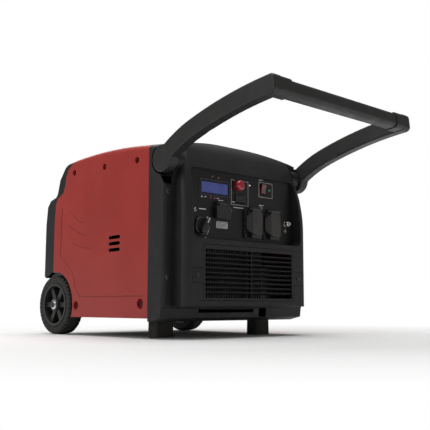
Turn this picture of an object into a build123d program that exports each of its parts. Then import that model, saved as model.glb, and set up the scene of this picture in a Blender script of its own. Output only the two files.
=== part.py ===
from build123d import *
from math import cos, radians, sin, sqrt
import os

# Closed-frame inverter generator with a fold-down trolley handle and two rear wheels.
# Millimetres, +Z up, +X to the right as seen from the control panel, +Y towards the rear.
# The origin is on the ground, midway along and across the machine.

# ---------------------------------------------------------------- driving dimensions
face_y = -125.2            # reference plane at the front; depths are counted back from it
shell = 3.0                # moulded wall
seam = 0.6                 # gap between neighbouring covers
body_half_width = 238.0    # red side covers
face_half_width = 206.0    # front face between the two handle channels
face_forward = 8.0         # how far the front face stands ahead of the reference plane
face_bend_z = 262.0        # above this height the face leans back and narrows
face_lean_radius = 390.0
face_side_radius = 840.0
crown_z = 482.0            # highest point of the top, on the centre line
crown_depth = 280.0        # depth of that point
crown_radius = 951.0       # the top is arched from side to side
crown_sweep = 1629.0       # and more gently from front to rear
skirt_z = 38.0             # underside of the housing
face_bottom_z = 72.0
channel_depth = 34.0       # how far the handle channels are set back
front_seam = 86.0          # depth of the seam between front housing and side covers
top_rear_seam = 378.0      # depth of the seam between top cover and rear housing
wrap_half_width = 178.0    # where the side covers end on top

pivot_depth = 42.0
pivot_z = 404.0
pivot_disc_radius = 32.0
pivot_seat_radius = 36.0
arm_inner_x = 213.0
arm_outer_x = 240.0
arm_height = 41.0
fold_angle = 95.0          # from drawn up to folded down in front of the channels

wheel_radius = 76.0        # 6 inch wheel
wheel_depth = 478.0
wheel_inner_x = 195.0
wheel_outer_x = 240.0
arch_radius = 85.0
well_half_width = 189.0    # tray between the wheels
axle_radius = 8.0
running_gap = 0.05         # radial clearance of a shaft in its bore

panel_depth = 20.0         # control panel set back in the face
panel_half_width = 184.0
panel_top_half_width = 179.0
panel_low_z = 225.0
panel_high_z = 390.0

crank_z = 185.0
engine_front = 192.0
engine_rear = 330.0
cylinder_tilt = 25.0       # degrees above horizontal, to the right


def behind(depth):
    """Y of a point that lies this far behind the reference plane."""
    return face_y + depth


def in_face(depth):
    """Y of a point that lies this far behind the front face itself."""
    return behind(depth - face_forward)


pivot_y = behind(pivot_depth)
axle_y = behind(wheel_depth)
axle_z = wheel_radius


def plane_x(x):
    """A YZ sketch plane at x; extruding goes towards +X."""
    return Plane.YZ.offset(x)


def plane_y(y):
    """An XZ sketch plane at y; a negative extrusion goes towards the rear."""
    return Plane.XZ.offset(-y)


def block(x, y, z, mode=Mode.ADD):
    """A box between two values along each axis."""
    with Locations(((x[0] + x[1]) / 2, (y[0] + y[1]) / 2, (z[0] + z[1]) / 2)):
        Box(x[1] - x[0], y[1] - y[0], z[1] - z[0], mode=mode)


def rod_x(x, y, z, radius, mode=Mode.ADD):
    """A cylinder along X between two x values."""
    with Locations(Location(((x[0] + x[1]) / 2, y, z), (0, 90, 0))):
        Cylinder(radius, x[1] - x[0], mode=mode)


def rod_y(x, y, z, radius, mode=Mode.ADD):
    """A cylinder along Y between two y values."""
    with Locations(Location((x, (y[0] + y[1]) / 2, z), (90, 0, 0))):
        Cylinder(radius, y[1] - y[0], mode=mode)


def rod_z(x, y, z, radius, mode=Mode.ADD):
    """A cylinder along Z between two z values."""
    with Locations((x, y, (z[0] + z[1]) / 2)):
        Cylinder(radius, z[1] - z[0], mode=mode)


def both_sides(low, high):
    """The same x span on the left and on the right."""
    return ((-high, -low), (low, high))


def span(side, low, high):
    """The x span from low to high on one side of the machine: side is -1 or +1."""
    return (min(side * low, side * high), max(side * low, side * high))


def crown(x, inset=0.0):
    """Height of the arched top at x."""
    return crown_z - inset - (crown_radius - sqrt(crown_radius**2 - x**2))


def crowned(half_width, inset, corner):
    """A block as wide as the machine whose top is arched both ways."""
    side = crown(half_width, inset)
    with BuildPart() as body:
        with BuildSketch(plane_y(behind(crown_depth))) as section:
            with BuildLine():
                ThreePointArc((-half_width, side), (0, crown_z - inset), (half_width, side))
                Polyline((half_width, side), (half_width, 0), (-half_width, 0), (-half_width, side))
            make_face()
            fillet(section.vertices().group_by(Axis.Y)[-1], corner)
        sweep_axis = Axis((0, behind(crown_depth), crown_z - crown_sweep), (1, 0, 0))
        revolve(axis=sweep_axis, revolution_arc=32)
    return body.part.rotate(sweep_axis, -16)


def hollow_box(x, y, z, wall, radius, axis):
    """A closed box with walls of even thickness and rounded edges along one axis."""
    with BuildPart() as outside:
        block(x, y, z)
        fillet(outside.edges().filter_by(axis), radius)
    with BuildPart() as inside:
        block(*((low + wall, high - wall) for low, high in (x, y, z)))
        fillet(inside.edges().filter_by(axis), radius - wall)
    return outside.part - inside.part


def save(part, name):
    """Labels a finished sub-part and writes it to its own file."""
    part.label = name
    export_step(part, f"parts/{name}.step")


os.makedirs("parts", exist_ok=True)

# ---------------------------------------------------------------- shape of the handle arms
arm_start_slope = 37.0     # degrees above horizontal at the pivot
arm_bends = ((115.0, 19.2), (228.7, 12.0))    # length and turn of the arm's two arcs up to the grip
arm_end_corner = 11.0
grip_depth = -283.0
grip_z = 503.5
grip_size = 38.0
sleeve_size = 34.5
grip_tilt = 7.0
corner_inner_x = 185.0
core_radius = 10.0

with BuildSketch() as grip_profile:
    with Locations(Location((behind(grip_depth), grip_z, 0), (0, 0, -grip_tilt))):
        RectangleRounded(grip_size, grip_size, 10)
with BuildSketch() as sleeve_profile:
    with Locations(Location((behind(grip_depth), grip_z, 0), (0, 0, -grip_tilt))):
        RectangleRounded(sleeve_size, sleeve_size, 11)

with BuildLine() as centre_line:
    start = (pivot_y, pivot_z)
    slope = arm_start_slope
    for length, turn in arm_bends:
        arc = JernArc(start, (-cos(radians(slope)), sin(radians(slope))), length / radians(turn), turn)
        start = arc @ 1
        slope = slope - turn
    Line(arc @ 1, arc @ 1 + (arc % 1) * grip_size / 2)

with BuildSketch() as arm_profile:
    trace(centre_line.edges(), line_width=arm_height)
    with Locations((pivot_y, pivot_z)):
        Circle(pivot_disc_radius)
    neck = [v for v in arm_profile.vertices() if abs(v.X - pivot_y) < 1.5 * pivot_disc_radius]
    fillet([v for v in neck if abs(v.Y - pivot_z) > 2], 6)
    fillet(arm_profile.vertices().sort_by(Axis.X)[:2], arm_end_corner)

folded_arm = arm_profile.sketch.rotate(Axis((pivot_y, pivot_z, 0), (0, 0, 1)), fold_angle)

# ---------------------------------------------------------------- front housing
front_roll = 62.0          # radius from the face into the top
face_corner = 19.0
wing_corner = 9.0
top_corner = 14.0
skirt_step = 40.0          # depth of the skirt
overrun = 20.0             # extra length where one volume is cut by another


def front_side():
    """Side view of the front housing: an upright face, then a lean into the rolled top."""
    rise = (crown_depth - front_seam) / crown_sweep
    back = behind(skirt_step + front_seam)
    roof_z = crown_z - crown_sweep * (1 - cos(rise))
    lean_top = 470.0
    with BuildSketch() as side_view:
        with BuildLine():
            lean = TangentArc((in_face(0), face_bend_z),
                              (in_face((lean_top - face_bend_z)**2 / (2 * face_lean_radius)), lean_top), tangent=(0, 1))
            Polyline(lean @ 1, (behind(front_seam), roof_z), (back, roof_z + rise * skirt_step),
                     (back, skirt_z), (behind(skirt_step + 37), skirt_z), (behind(skirt_step + 3), skirt_z + 8),
                     (behind(skirt_step), face_bottom_z - 5), (behind(skirt_step - 4), face_bottom_z),
                     (in_face(3), face_bottom_z), (in_face(0), face_bottom_z + 3), lean @ 0)
        make_face()
        fillet(side_view.vertices().sort_by_distance(lean @ 1)[0], front_roll)
    return side_view.sketch


def face_front():
    """Front view of the part of the housing between the handle channels."""
    reach = 500 - face_bend_z
    narrow = face_half_width - reach**2 / (2 * face_side_radius)
    with BuildSketch() as front_view:
        with BuildLine():
            right = TangentArc((face_half_width, face_bend_z), (narrow, 500), tangent=(0, 1))
            left = TangentArc((-face_half_width, face_bend_z), (-narrow, 500), tangent=(0, 1))
            Line(right @ 1, left @ 1)
            Polyline(right @ 0, (face_half_width, 20), (-face_half_width, 20), left @ 0)
        make_face()
    return front_view.sketch


def face_block():
    """Solid between the handle channels, with rounded corners."""
    front = behind(-overrun)
    back = behind(front_seam)
    with BuildPart() as face:
        with BuildSketch(plane_y(front)):
            add(face_front())
        extrude(amount=-(back - front))
        with BuildSketch(plane_x(-face_half_width - overrun)):
            add(front_side())
        extrude(amount=2 * (face_half_width + overrun), mode=Mode.INTERSECT)
        corners = [e for e in face.edges() if e.center().Y < behind(channel_depth) and abs(e.center().X) > 150
                   and abs((e % 0.5).X) < 0.5 and e.center().Z > face_bottom_z + 20]
        fillet(corners, face_corner)
    return face.part


def front_volume(inset):
    """Outside of the front housing, or its inside when inset is the wall."""
    back = behind(front_seam) + (overrun if inset else 0)
    outside = face_block()
    with BuildPart() as face:
        add(outside.moved(Location((inset, inset, -inset))))
        if inset:
            add(outside.moved(Location((-inset, inset, -inset))), mode=Mode.INTERSECT)
            block((-face_half_width, face_half_width), (behind(-overrun), back + overrun),
                  (0, face_bottom_z + inset), mode=Mode.SUBTRACT)
    with BuildPart() as wings:
        with BuildSketch(Plane.XY.offset(skirt_z)):
            with Locations((0, (behind(channel_depth + inset) + back) / 2)):
                across = Rectangle(2 * (body_half_width - inset), back - behind(channel_depth + inset))
            fillet(across.vertices().group_by(Axis.Y)[0], wing_corner - inset)
        extrude(amount=500 - skirt_z)
        with BuildSketch(plane_x(-body_half_width - overrun)):
            add(front_side())
            offset(amount=-inset - 0.001, kind=Kind.INTERSECTION)
        extrude(amount=2 * (body_half_width + overrun), mode=Mode.INTERSECT)
    with BuildPart() as volume:
        add(face.part)
        add(wings.part)
        add(crowned(body_half_width - inset, inset, top_corner - inset), mode=Mode.INTERSECT)
        for side in both_sides(face_half_width + shell - inset, body_half_width + overrun):
            rod_x(side, pivot_y, pivot_z, pivot_seat_radius + inset, mode=Mode.SUBTRACT)
    return volume.part


boss_radius = 24.0
pin_radius = 8.0
opening_corner = 14.0
channel_screws = (330.0, 137.0)    # heights of the screws in the handle channels
channel_screw_x = 223.0
screw_head = 5.5
screw_shank = 2.4
screw_hole = 2.6
grille_half_width = 153.0
grille_low_z = 86.0
grille_high_z = 212.0
tab_x = 186.0              # the grille's screw tabs
tab_low_z = 126.0
tab_high_z = 158.0
tab_screw_x = 171.0
tab_screw_z = 142.0
fit_gap = 1.0              # gap round an inset panel
foot_x = 165.0
foot_depth = 127.0
foot_size = (52.0, 36.0)


def grille_outline(gap, plane):
    """The inset cover over the air intake, with a screw tab on each side."""
    with BuildSketch(plane) as outline:
        with Locations((0, (grille_low_z + grille_high_z) / 2)):
            cover = Rectangle(2 * (grille_half_width + gap), grille_high_z - grille_low_z + 2 * gap)
        fillet(cover.vertices(), 4)
        with Locations((0, (tab_low_z + tab_high_z) / 2)):
            Rectangle(2 * (tab_x + gap), tab_high_z - tab_low_z + 2 * gap)
    return outline.sketch


def panel_opening(grow, plane):
    """The rounded opening that the control panel sits behind, a little narrower at the top."""
    with BuildSketch(plane) as outline:
        with BuildLine():
            Polyline((-panel_half_width, panel_low_z), (panel_half_width, panel_low_z),
                     (panel_top_half_width, panel_high_z), (-panel_top_half_width, panel_high_z), close=True)
        make_face()
        fillet(outline.vertices(), opening_corner)
        if grow:
            offset(amount=grow)
    return outline.sketch


with BuildPart() as tunnel:
    # leads from the face back to the control panel
    add(extrude(panel_opening(shell, plane_y(in_face(-1))), amount=-(panel_depth + face_forward + 1), mode=Mode.PRIVATE))
    add(front_volume(0), mode=Mode.INTERSECT)

with BuildPart() as front_housing:
    add(front_volume(0))
    add(front_volume(shell), mode=Mode.SUBTRACT)
    # bosses that carry the handle pins
    for side in both_sides(panel_half_width + shell + 0.4, arm_inner_x - 1):
        rod_x(side, pivot_y, pivot_z, boss_radius)
    add(tunnel.part)
    add(extrude(panel_opening(0, plane_y(in_face(-5))), amount=-(panel_depth + face_forward + 10), mode=Mode.PRIVATE),
        mode=Mode.SUBTRACT)
    # recess, screw seats and opening of the intake cover
    for side in both_sides(tab_x - 32, tab_x + 4):
        block(side, (in_face(2), in_face(8)), (tab_low_z - 4, tab_high_z + 4))
    add(extrude(grille_outline(fit_gap, plane_y(in_face(-5))), amount=-(5 + shell), mode=Mode.PRIVATE),
        mode=Mode.SUBTRACT)
    with Locations((0, in_face(5), (grille_low_z + grille_high_z) / 2)):
        Box(2 * grille_half_width - 2, 20, grille_high_z - grille_low_z - 2, mode=Mode.SUBTRACT)
    for side in (-1, 1):
        rod_y(side * tab_screw_x, (in_face(0), in_face(20)), tab_screw_z, screw_hole, mode=Mode.SUBTRACT)
        for z in channel_screws:
            rod_y(side * channel_screw_x, (behind(channel_depth - 5), behind(channel_depth + 15)), z,
                  screw_hole, mode=Mode.SUBTRACT)
    # hand slot in the skirt and the socket of the lifting bracket beside it
    block((-125, 58), (behind(skirt_step - 8), behind(skirt_step + 8)), (58, 66), mode=Mode.SUBTRACT)
    block((78, 104), (behind(skirt_step - 8), behind(skirt_step + 12)), (47, 68), mode=Mode.SUBTRACT)
    for side in both_sides(170, arm_outer_x + 10):
        rod_x(side, pivot_y, pivot_z, pin_radius, mode=Mode.SUBTRACT)
    # room for the arms when they are folded down
    for side in both_sides(arm_inner_x - 1, body_half_width + overrun):
        with BuildSketch(plane_x(side[0])):
            add(folded_arm)
            offset(amount=1)
        extrude(amount=side[1] - side[0], mode=Mode.SUBTRACT)
save(front_housing.part, "front_housing")

# ---------------------------------------------------------------- intake cover
louvre_half_width = 148.0
louvre_low_z = 91.5
louvre_high_z = 202.0
louvre_count = 9
louvre_depth = 12.0
louvre_thickness = 2.6
divider_x = 2.5

with BuildPart() as intake_grille:
    add(extrude(grille_outline(0, plane_y(in_face(0))), amount=-shell, mode=Mode.PRIVATE))
    block((-louvre_half_width, louvre_half_width), (in_face(-1), in_face(shell + 1)),
          (louvre_low_z, louvre_high_z), mode=Mode.SUBTRACT)
    louvre_pitch = (louvre_high_z - louvre_low_z) / (louvre_count + 1)
    for row in range(louvre_count):
        z = louvre_low_z + (row + 1) * louvre_pitch
        with Locations(Location((0, in_face(louvre_depth / 2 + 0.8), z), (-20, 0, 0))):
            Box(2 * louvre_half_width + 2, louvre_depth, louvre_thickness)
    for x in (-louvre_half_width - 1, divider_x, louvre_half_width + 1):
        block((x - 1.2, x + 1.2), (in_face(0.5), in_face(louvre_depth + 1)), (louvre_low_z - 1, louvre_high_z + 1))
    for side in (-1, 1):
        rod_y(side * tab_screw_x, (in_face(-2), in_face(5)), tab_screw_z, screw_hole, mode=Mode.SUBTRACT)
save(intake_grille.part, "intake_grille")

# ---------------------------------------------------------------- side covers
cover_corner = 14.0
lip = 12.0                 # how far the covers turn in along the rear and the bottom
cover_low_z = 45.0
wrap_low_z = 430.0
slot_heights = (236.5, 221.5, 206.5)
slot_depths = (194.0, 240.0)
slot_height = 8.5
slot_tilt = -1.0
top_screws = [(132, 412), (263, 414), (398, 416)]
bottom_screws = [(113, 78), (377, 74)]
screw_cups = {412: 8.0, 414: 8.0, 416: 8.0, 78: 12.0, 74: 11.0}    # radius by height of the screw
cup_depth = 12.0
groove_width = 2.4
groove_depth = 1.4
rear_edge = [(382, 470), (402, 443), (425, 429), (437, 410), (440, 388), (449, 368), (475, 356), (484, 342),
             (488, 292), (489, 162)]
shut_line = [(450, 328), (455, 290), (454, 203), (427, 183), (394, 154), (383, 123), (361, 96), (100, 96)]
creases = [[(421, 318), (369, 286), (348, 283)],
           [(419, 281), (368, 257), (331, 248)],
           [(398, 233), (360, 221), (312, 215)]]


def cover_volume(inset):
    """Outside of the red body, or its inside when inset is the wall."""
    with BuildPart() as volume:
        with BuildSketch(plane_x(-body_half_width + inset)):
            with BuildLine():
                Polyline((behind(front_seam + seam), cover_low_z), (behind(front_seam + seam), 500),
                         *[(behind(d), z) for d, z in [(378, 500), *rear_edge]],
                         (behind(wheel_depth), axle_z), (behind(wheel_depth - 10), cover_low_z), close=True)
            make_face()
            if inset:
                offset(amount=-inset, kind=Kind.INTERSECTION)
            with Locations((axle_y, axle_z)):
                Circle(arch_radius + inset, mode=Mode.SUBTRACT)
        extrude(amount=2 * (body_half_width - inset))
        add(crowned(body_half_width - inset, inset, cover_corner - inset), mode=Mode.INTERSECT)
    return volume.part


def side_cover(side):
    """One red side cover: side is -1 for the left and +1 for the right."""
    with BuildPart() as cover:
        add(red_shell)
        block((-400, 400), (behind(0), behind(600)), (0, 600), mode=Mode.INTERSECT)
        block(span(side, -400, wrap_half_width), (behind(0), behind(600)), (0, 600), mode=Mode.SUBTRACT)
        block(span(side, 0, body_half_width - lip), (behind(0), behind(600)), (0, wrap_low_z), mode=Mode.SUBTRACT)
        # recessed screws
        for depth, z in top_screws + bottom_screws:
            cup = screw_cups[z]
            rod_x(span(side, body_half_width - cup_depth, body_half_width - 1), behind(depth), z, cup + shell)
            rod_x(span(side, body_half_width - cup_depth + 3, body_half_width + 5), behind(depth), z, cup,
                  mode=Mode.SUBTRACT)
            rod_x(span(side, body_half_width - 30, body_half_width), behind(depth), z, screw_hole, mode=Mode.SUBTRACT)
        # cooling slots
        for z in slot_heights:
            with BuildSketch(plane_x(side * body_half_width)):
                with Locations((behind(sum(slot_depths) / 2), z)):
                    SlotOverall(slot_depths[1] - slot_depths[0], slot_height, rotation=slot_tilt)
            extrude(amount=10, both=True, mode=Mode.SUBTRACT)
        # styling grooves
        for line in [shut_line, *creases]:
            with BuildSketch(plane_x(side * (body_half_width - groove_depth))):
                with BuildLine() as path:
                    Polyline(*[(behind(d), z) for d, z in line])
                trace(path.edges(), line_width=groove_width)
            extrude(amount=side * (groove_depth + 5), mode=Mode.SUBTRACT)
    return cover.part



red_shell = cover_volume(0) - cover_volume(shell)

with BuildPart() as left_side_cover:
    add(side_cover(-1))
save(left_side_cover.part, "left_side_cover")

# The right side cover also holds the maintenance door and the starter handle.
door_depths = (150.0, 320.0)
door_heights = (122.0, 322.0)
door_corner = 12.0
hinge_x = 242.0
hinge_depth = door_depths[1] + 2.5
hinge_radius = 3.5
hinge_pin_radius = 1.5
hinge_heights = (160.0, 284.0)
knuckle = 11.0
starter_depth = 114.0
starter_z = 227.0
pocket = (20.0, 45.0)      # half width and half height of the starter handle's pocket
pocket_floor_x = 216.0
rope_radius = 2.5

right_outside = body_half_width - shell
with BuildPart() as right_side_cover:
    add(side_cover(1))
    with BuildSketch(plane_x(right_outside - 5)):
        with Locations((behind(sum(door_depths) / 2), sum(door_heights) / 2)):
            RectangleRounded(door_depths[1] - door_depths[0] + 2 * seam,
                             door_heights[1] - door_heights[0] + 2 * seam, door_corner)
    extrude(amount=20, mode=Mode.SUBTRACT)
    block((pocket_floor_x - 2, body_half_width - 1),
          (behind(starter_depth - pocket[0] - 2), behind(starter_depth + pocket[0] + 2)),
          (starter_z - pocket[1] - 2, starter_z + pocket[1] + 2))
    block((pocket_floor_x, body_half_width + 5),
          (behind(starter_depth - pocket[0]), behind(starter_depth + pocket[0])),
          (starter_z - pocket[1], starter_z + pocket[1]), mode=Mode.SUBTRACT)
    rod_x((pocket_floor_x - 5, pocket_floor_x + 5), behind(starter_depth), starter_z, rope_radius + 1.5,
          mode=Mode.SUBTRACT)
    for z in hinge_heights:
        block((body_half_width - 1, hinge_x - 1), (behind(hinge_depth + 2), behind(hinge_depth + 12)), (z, z + knuckle))
        block((hinge_x - 2, hinge_x + 1), (behind(hinge_depth), behind(hinge_depth + 12)), (z, z + knuckle))
        rod_z(hinge_x, behind(hinge_depth), (z, z + knuckle), hinge_radius)
        rod_z(hinge_x, behind(hinge_depth), (z - 1, z + knuckle + 1), hinge_pin_radius, mode=Mode.SUBTRACT)
save(right_side_cover.part, "right_side_cover")

with BuildPart() as maintenance_door:
    with BuildSketch(plane_x(right_outside)):
        with Locations((behind(sum(door_depths) / 2), sum(door_heights) / 2)):
            RectangleRounded(door_depths[1] - door_depths[0], door_heights[1] - door_heights[0], door_corner)
    extrude(amount=shell)
    with BuildSketch(plane_x(right_outside - 6)):
        with Locations((behind(sum(door_depths) / 2), sum(door_heights) / 2)):
            RectangleRounded(door_depths[1] - door_depths[0] - 16, door_heights[1] - door_heights[0] - 16, 8)
            RectangleRounded(door_depths[1] - door_depths[0] - 21, door_heights[1] - door_heights[0] - 21, 6,
                             mode=Mode.SUBTRACT)
    extrude(amount=7)
    for z in slot_heights:
        with BuildSketch(plane_x(body_half_width)):
            with Locations((behind(sum(slot_depths) / 2), z)):
                SlotOverall(slot_depths[1] - slot_depths[0], slot_height, rotation=slot_tilt)
        extrude(amount=10, both=True, mode=Mode.SUBTRACT)
    for z in hinge_heights:
        low, high = z - knuckle - 0.5, z - 0.5
        block((body_half_width - 1, hinge_x - 1), (behind(hinge_depth - 12), behind(hinge_depth - 4)), (low, high))
        block((hinge_x - 2, hinge_x + 1), (behind(hinge_depth - 12), behind(hinge_depth)), (low, high))
        rod_z(hinge_x, behind(hinge_depth), (low, high), hinge_radius)
        rod_z(hinge_x, behind(hinge_depth), (low - 1, high + 1), hinge_pin_radius + running_gap, mode=Mode.SUBTRACT)
    latch_depth = door_depths[0] + 18
    latch_z = sum(door_heights) / 2
    rod_x((right_outside - 10, body_half_width + 5), behind(latch_depth), latch_z, 8 + running_gap, mode=Mode.SUBTRACT)
save(maintenance_door.part, "maintenance_door")

with BuildPart() as door_latch:
    rod_x((right_outside - 3, body_half_width), behind(latch_depth), latch_z, 8)
    rod_x((body_half_width, body_half_width + 2), behind(latch_depth), latch_z, 11)
    block((body_half_width + 2, body_half_width + 6), (behind(latch_depth - 2.5), behind(latch_depth + 2.5)),
          (latch_z - 10, latch_z + 10))
save(door_latch.part, "door_latch")

# ---------------------------------------------------------------- top cover
fill_depth = 290.0
neck_radius = 26.0

with BuildPart() as top_cover:
    strip = wrap_half_width - seam
    front, back = front_seam + seam, top_rear_seam - seam
    add(crowned(body_half_width, 0, cover_corner))
    add(crowned(body_half_width, shell, cover_corner), mode=Mode.SUBTRACT)
    block((-strip, strip), (behind(front), behind(back)), (300, 500), mode=Mode.INTERSECT)
    rod_z(0, behind(fill_depth), (455, 485), neck_radius + 16, mode=Mode.ADD)
    rod_z(0, behind(fill_depth), (430, 500), neck_radius + 11, mode=Mode.SUBTRACT)
save(top_cover.part, "top_cover")

# ---------------------------------------------------------------- rear housing
rear_half_width = 234.0
rear_low_z = 141.0
rear_outline = [(390, 500), (420, 466), (446, 437), (472, 406), (483, 370), (490, 361), (517, 354), (531, 338),
                (537, 290), (538, 152), (525, rear_low_z)]
exhaust_x = -95.0
exhaust_z = 250.0
exhaust_hole = 24.0


def rear_volume(inset):
    """Outside of the rear housing, or its inside when inset is the wall."""
    with BuildPart() as volume:
        with BuildSketch(plane_x(-rear_half_width + inset)) as profile:
            with BuildLine():
                Polyline((behind(360), rear_low_z), (behind(360), 500), *[(behind(d), z) for d, z in rear_outline],
                         close=True)
            make_face()
            corners = [v for v in profile.vertices() if v.X > behind(430) and v.Y > 200]
            fillet(corners, 5)
            if inset:
                offset(amount=-inset, kind=Kind.INTERSECTION)
        extrude(amount=2 * (rear_half_width - inset))
        add(crowned(rear_half_width - inset, inset, cover_corner - inset), mode=Mode.INTERSECT)
    return volume.part


with BuildPart() as rear_housing:
    add(rear_volume(0))
    add(rear_volume(shell), mode=Mode.SUBTRACT)
    block((-400, 400), (behind(300), behind(top_rear_seam + seam)), (0, 600), mode=Mode.SUBTRACT)
    for side in both_sides(wrap_half_width - seam, 300):
        with BuildSketch(plane_x(side[0])):
            with BuildLine():
                Polyline((behind(360), 0), (behind(360), 500), (behind(380), 500),
                         *[(behind(d), z) for d, z in rear_edge], (behind(489), 0), close=True)
            make_face()
            offset(amount=2 * seam, kind=Kind.INTERSECTION)
        extrude(amount=side[1] - side[0], mode=Mode.SUBTRACT)
    for side in both_sides(well_half_width - 3, 300):
        rod_x(side, axle_y, axle_z, arch_radius + shell + seam, mode=Mode.SUBTRACT)
    rod_y(exhaust_x, (behind(500), behind(560)), exhaust_z, exhaust_hole, mode=Mode.SUBTRACT)
    for row in range(7):
        z = 180 + row * 20
        for x in (-10, 110):
            with Locations((x + 40, behind(530), z)):
                Box(90, 60, 8, mode=Mode.SUBTRACT)
save(rear_housing.part, "rear_housing")

# ---------------------------------------------------------------- base tray
tray_low = 46.0
tray_floor = 4.0
tray_half_width = 225.4
tray_rear = 522.0

with BuildPart() as base_tray:
    front = behind(front_seam + seam)
    block((-tray_half_width, tray_half_width), (front, behind(395)), (tray_low, 70))
    block((-tray_half_width + 3, tray_half_width - 3), (front - 1, behind(396)), (tray_low + tray_floor, 80),
          mode=Mode.SUBTRACT)
    block((-well_half_width, well_half_width), (behind(380), behind(tray_rear)), (tray_low, 138))
    block((-well_half_width + 3, well_half_width - 3), (behind(300), behind(tray_rear - 3)),
          (tray_low + tray_floor, 150), mode=Mode.SUBTRACT)
    block((-tray_half_width + 3, tray_half_width - 3), (behind(370), behind(391)), (tray_low + tray_floor, 150),
          mode=Mode.SUBTRACT)
    for side in both_sides(well_half_width - 4, 194):
        rod_x(side, axle_y, axle_z, 15)
    # wheel arch liners
    for side in both_sides(well_half_width - 1, body_half_width - lip - 2):
        with BuildSketch(plane_x(side[0])):
            with Locations((axle_y, axle_z)):
                Circle(arch_radius + 3)
                Circle(arch_radius, mode=Mode.SUBTRACT)
            with Locations((behind(450), tray_low + 62)):
                Rectangle(140, 124, mode=Mode.INTERSECT)
        extrude(amount=side[1] - side[0])
    rod_x((-220, 220), axle_y, axle_z, axle_radius + running_gap, mode=Mode.SUBTRACT)
    for x in (-120, -60, 0, 60, 120):
        with Locations((x, behind(450), tray_low)):
            Box(12, 90, 30, mode=Mode.SUBTRACT)
save(base_tray.part, "base_tray")

with BuildPart() as front_feet:
    for side in (-1, 1):
        with BuildSketch(Plane.XY):
            with Locations((side * foot_x, behind(foot_depth))):
                RectangleRounded(*foot_size, 5)
        extrude(amount=tray_low, taper=1)
save(front_feet.part, "front_feet")

# ---------------------------------------------------------------- wheels
rim_radius = 55.0
rim_wall = 6.0
hub_radius = 17.0
spoke_count = 6
spoke_width = 13.0
wheel_width = wheel_outer_x - wheel_inner_x

with BuildPart() as axle:
    rod_x((-wheel_outer_x - 4, wheel_outer_x + 4), axle_y, axle_z, axle_radius)
save(axle.part, "axle")

with BuildPart() as axle_caps:
    for side in both_sides(wheel_outer_x + 0.4, wheel_outer_x + 4):
        rod_x(side, axle_y, axle_z, 12)
        rod_x(side, axle_y, axle_z, axle_radius + running_gap, mode=Mode.SUBTRACT)
save(axle_caps.part, "axle_caps")

for side, name in ((-1, "left"), (1, "right")):
    low, high = span(side, wheel_inner_x, wheel_outer_x)
    with BuildPart() as tyre:
        rod_x((low, high), axle_y, axle_z, wheel_radius)
        fillet(tyre.edges().filter_by(GeomType.CIRCLE), 7)
        rod_x((low - 1, high + 1), axle_y, axle_z, rim_radius, mode=Mode.SUBTRACT)
    save(tyre.part, f"{name}_tyre")
    with BuildPart() as wheel:
        rod_x((low + 1, high - 1), axle_y, axle_z, rim_radius)
        rod_x((low, high), axle_y, axle_z, rim_radius - rim_wall, mode=Mode.SUBTRACT)
        with BuildSketch(plane_x(low + 8)):
            with Locations((axle_y, axle_z)):
                with PolarLocations(0, spoke_count // 2, 0, 180):
                    Rectangle(2 * rim_radius - rim_wall, spoke_width)
        extrude(amount=wheel_width - 16)
        rod_x((low + 0.5, high), axle_y, axle_z, hub_radius)
        rod_x((low - 1, high + 1), axle_y, axle_z, axle_radius + running_gap, mode=Mode.SUBTRACT)
    save(wheel.part, f"{name}_wheel")

# ---------------------------------------------------------------- handle
for side, name in ((-1, "left"), (1, "right")):
    low, high = span(side, arm_inner_x, arm_outer_x)
    with BuildPart() as handle_arm:
        with BuildSketch(plane_x(low)):
            add(arm_profile.sketch)
        extrude(amount=high - low)
        sides = handle_arm.faces().sort_by(Axis.X)
        fillet(sides[0].edges() + sides[-1].edges(), 4)
        with BuildSketch(plane_x(span(side, corner_inner_x, arm_inner_x + 8)[0])):
            add(grip_profile.sketch)
        extrude(amount=arm_inner_x + 8 - corner_inner_x)
        rod_x(span(side, corner_inner_x - 5, 205), behind(grip_depth), grip_z, core_radius, mode=Mode.SUBTRACT)
        rod_x((low - 5, high + 5), pivot_y, pivot_z, pin_radius + running_gap, mode=Mode.SUBTRACT)
        rod_x(span(side, arm_outer_x - 5, arm_outer_x + 5), pivot_y, pivot_z, 20, mode=Mode.SUBTRACT)
    save(handle_arm.part, f"handle_arm_{name}")

with BuildPart() as handle_tube:
    rod_x((-205, 205), behind(grip_depth), grip_z, core_radius)
    rod_x((-210, 210), behind(grip_depth), grip_z, core_radius - 2, mode=Mode.SUBTRACT)
save(handle_tube.part, "handle_tube")

with BuildPart() as handle_grip:
    with BuildSketch(plane_x(-corner_inner_x)):
        add(sleeve_profile.sketch)
        with Locations((behind(grip_depth), grip_z)):
            Circle(core_radius, mode=Mode.SUBTRACT)
    extrude(amount=2 * corner_inner_x)
save(handle_grip.part, "handle_grip")

with BuildPart() as handle_pivot_pins:
    for side in both_sides(172, arm_outer_x - 6):
        rod_x(side, pivot_y, pivot_z, pin_radius)
save(handle_pivot_pins.part, "handle_pivot_pins")

with BuildPart() as handle_pivot_caps:
    for side in both_sides(arm_outer_x - 5, arm_outer_x):
        rod_x(side, pivot_y, pivot_z, 20)
save(handle_pivot_caps.part, "handle_pivot_caps")

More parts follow.
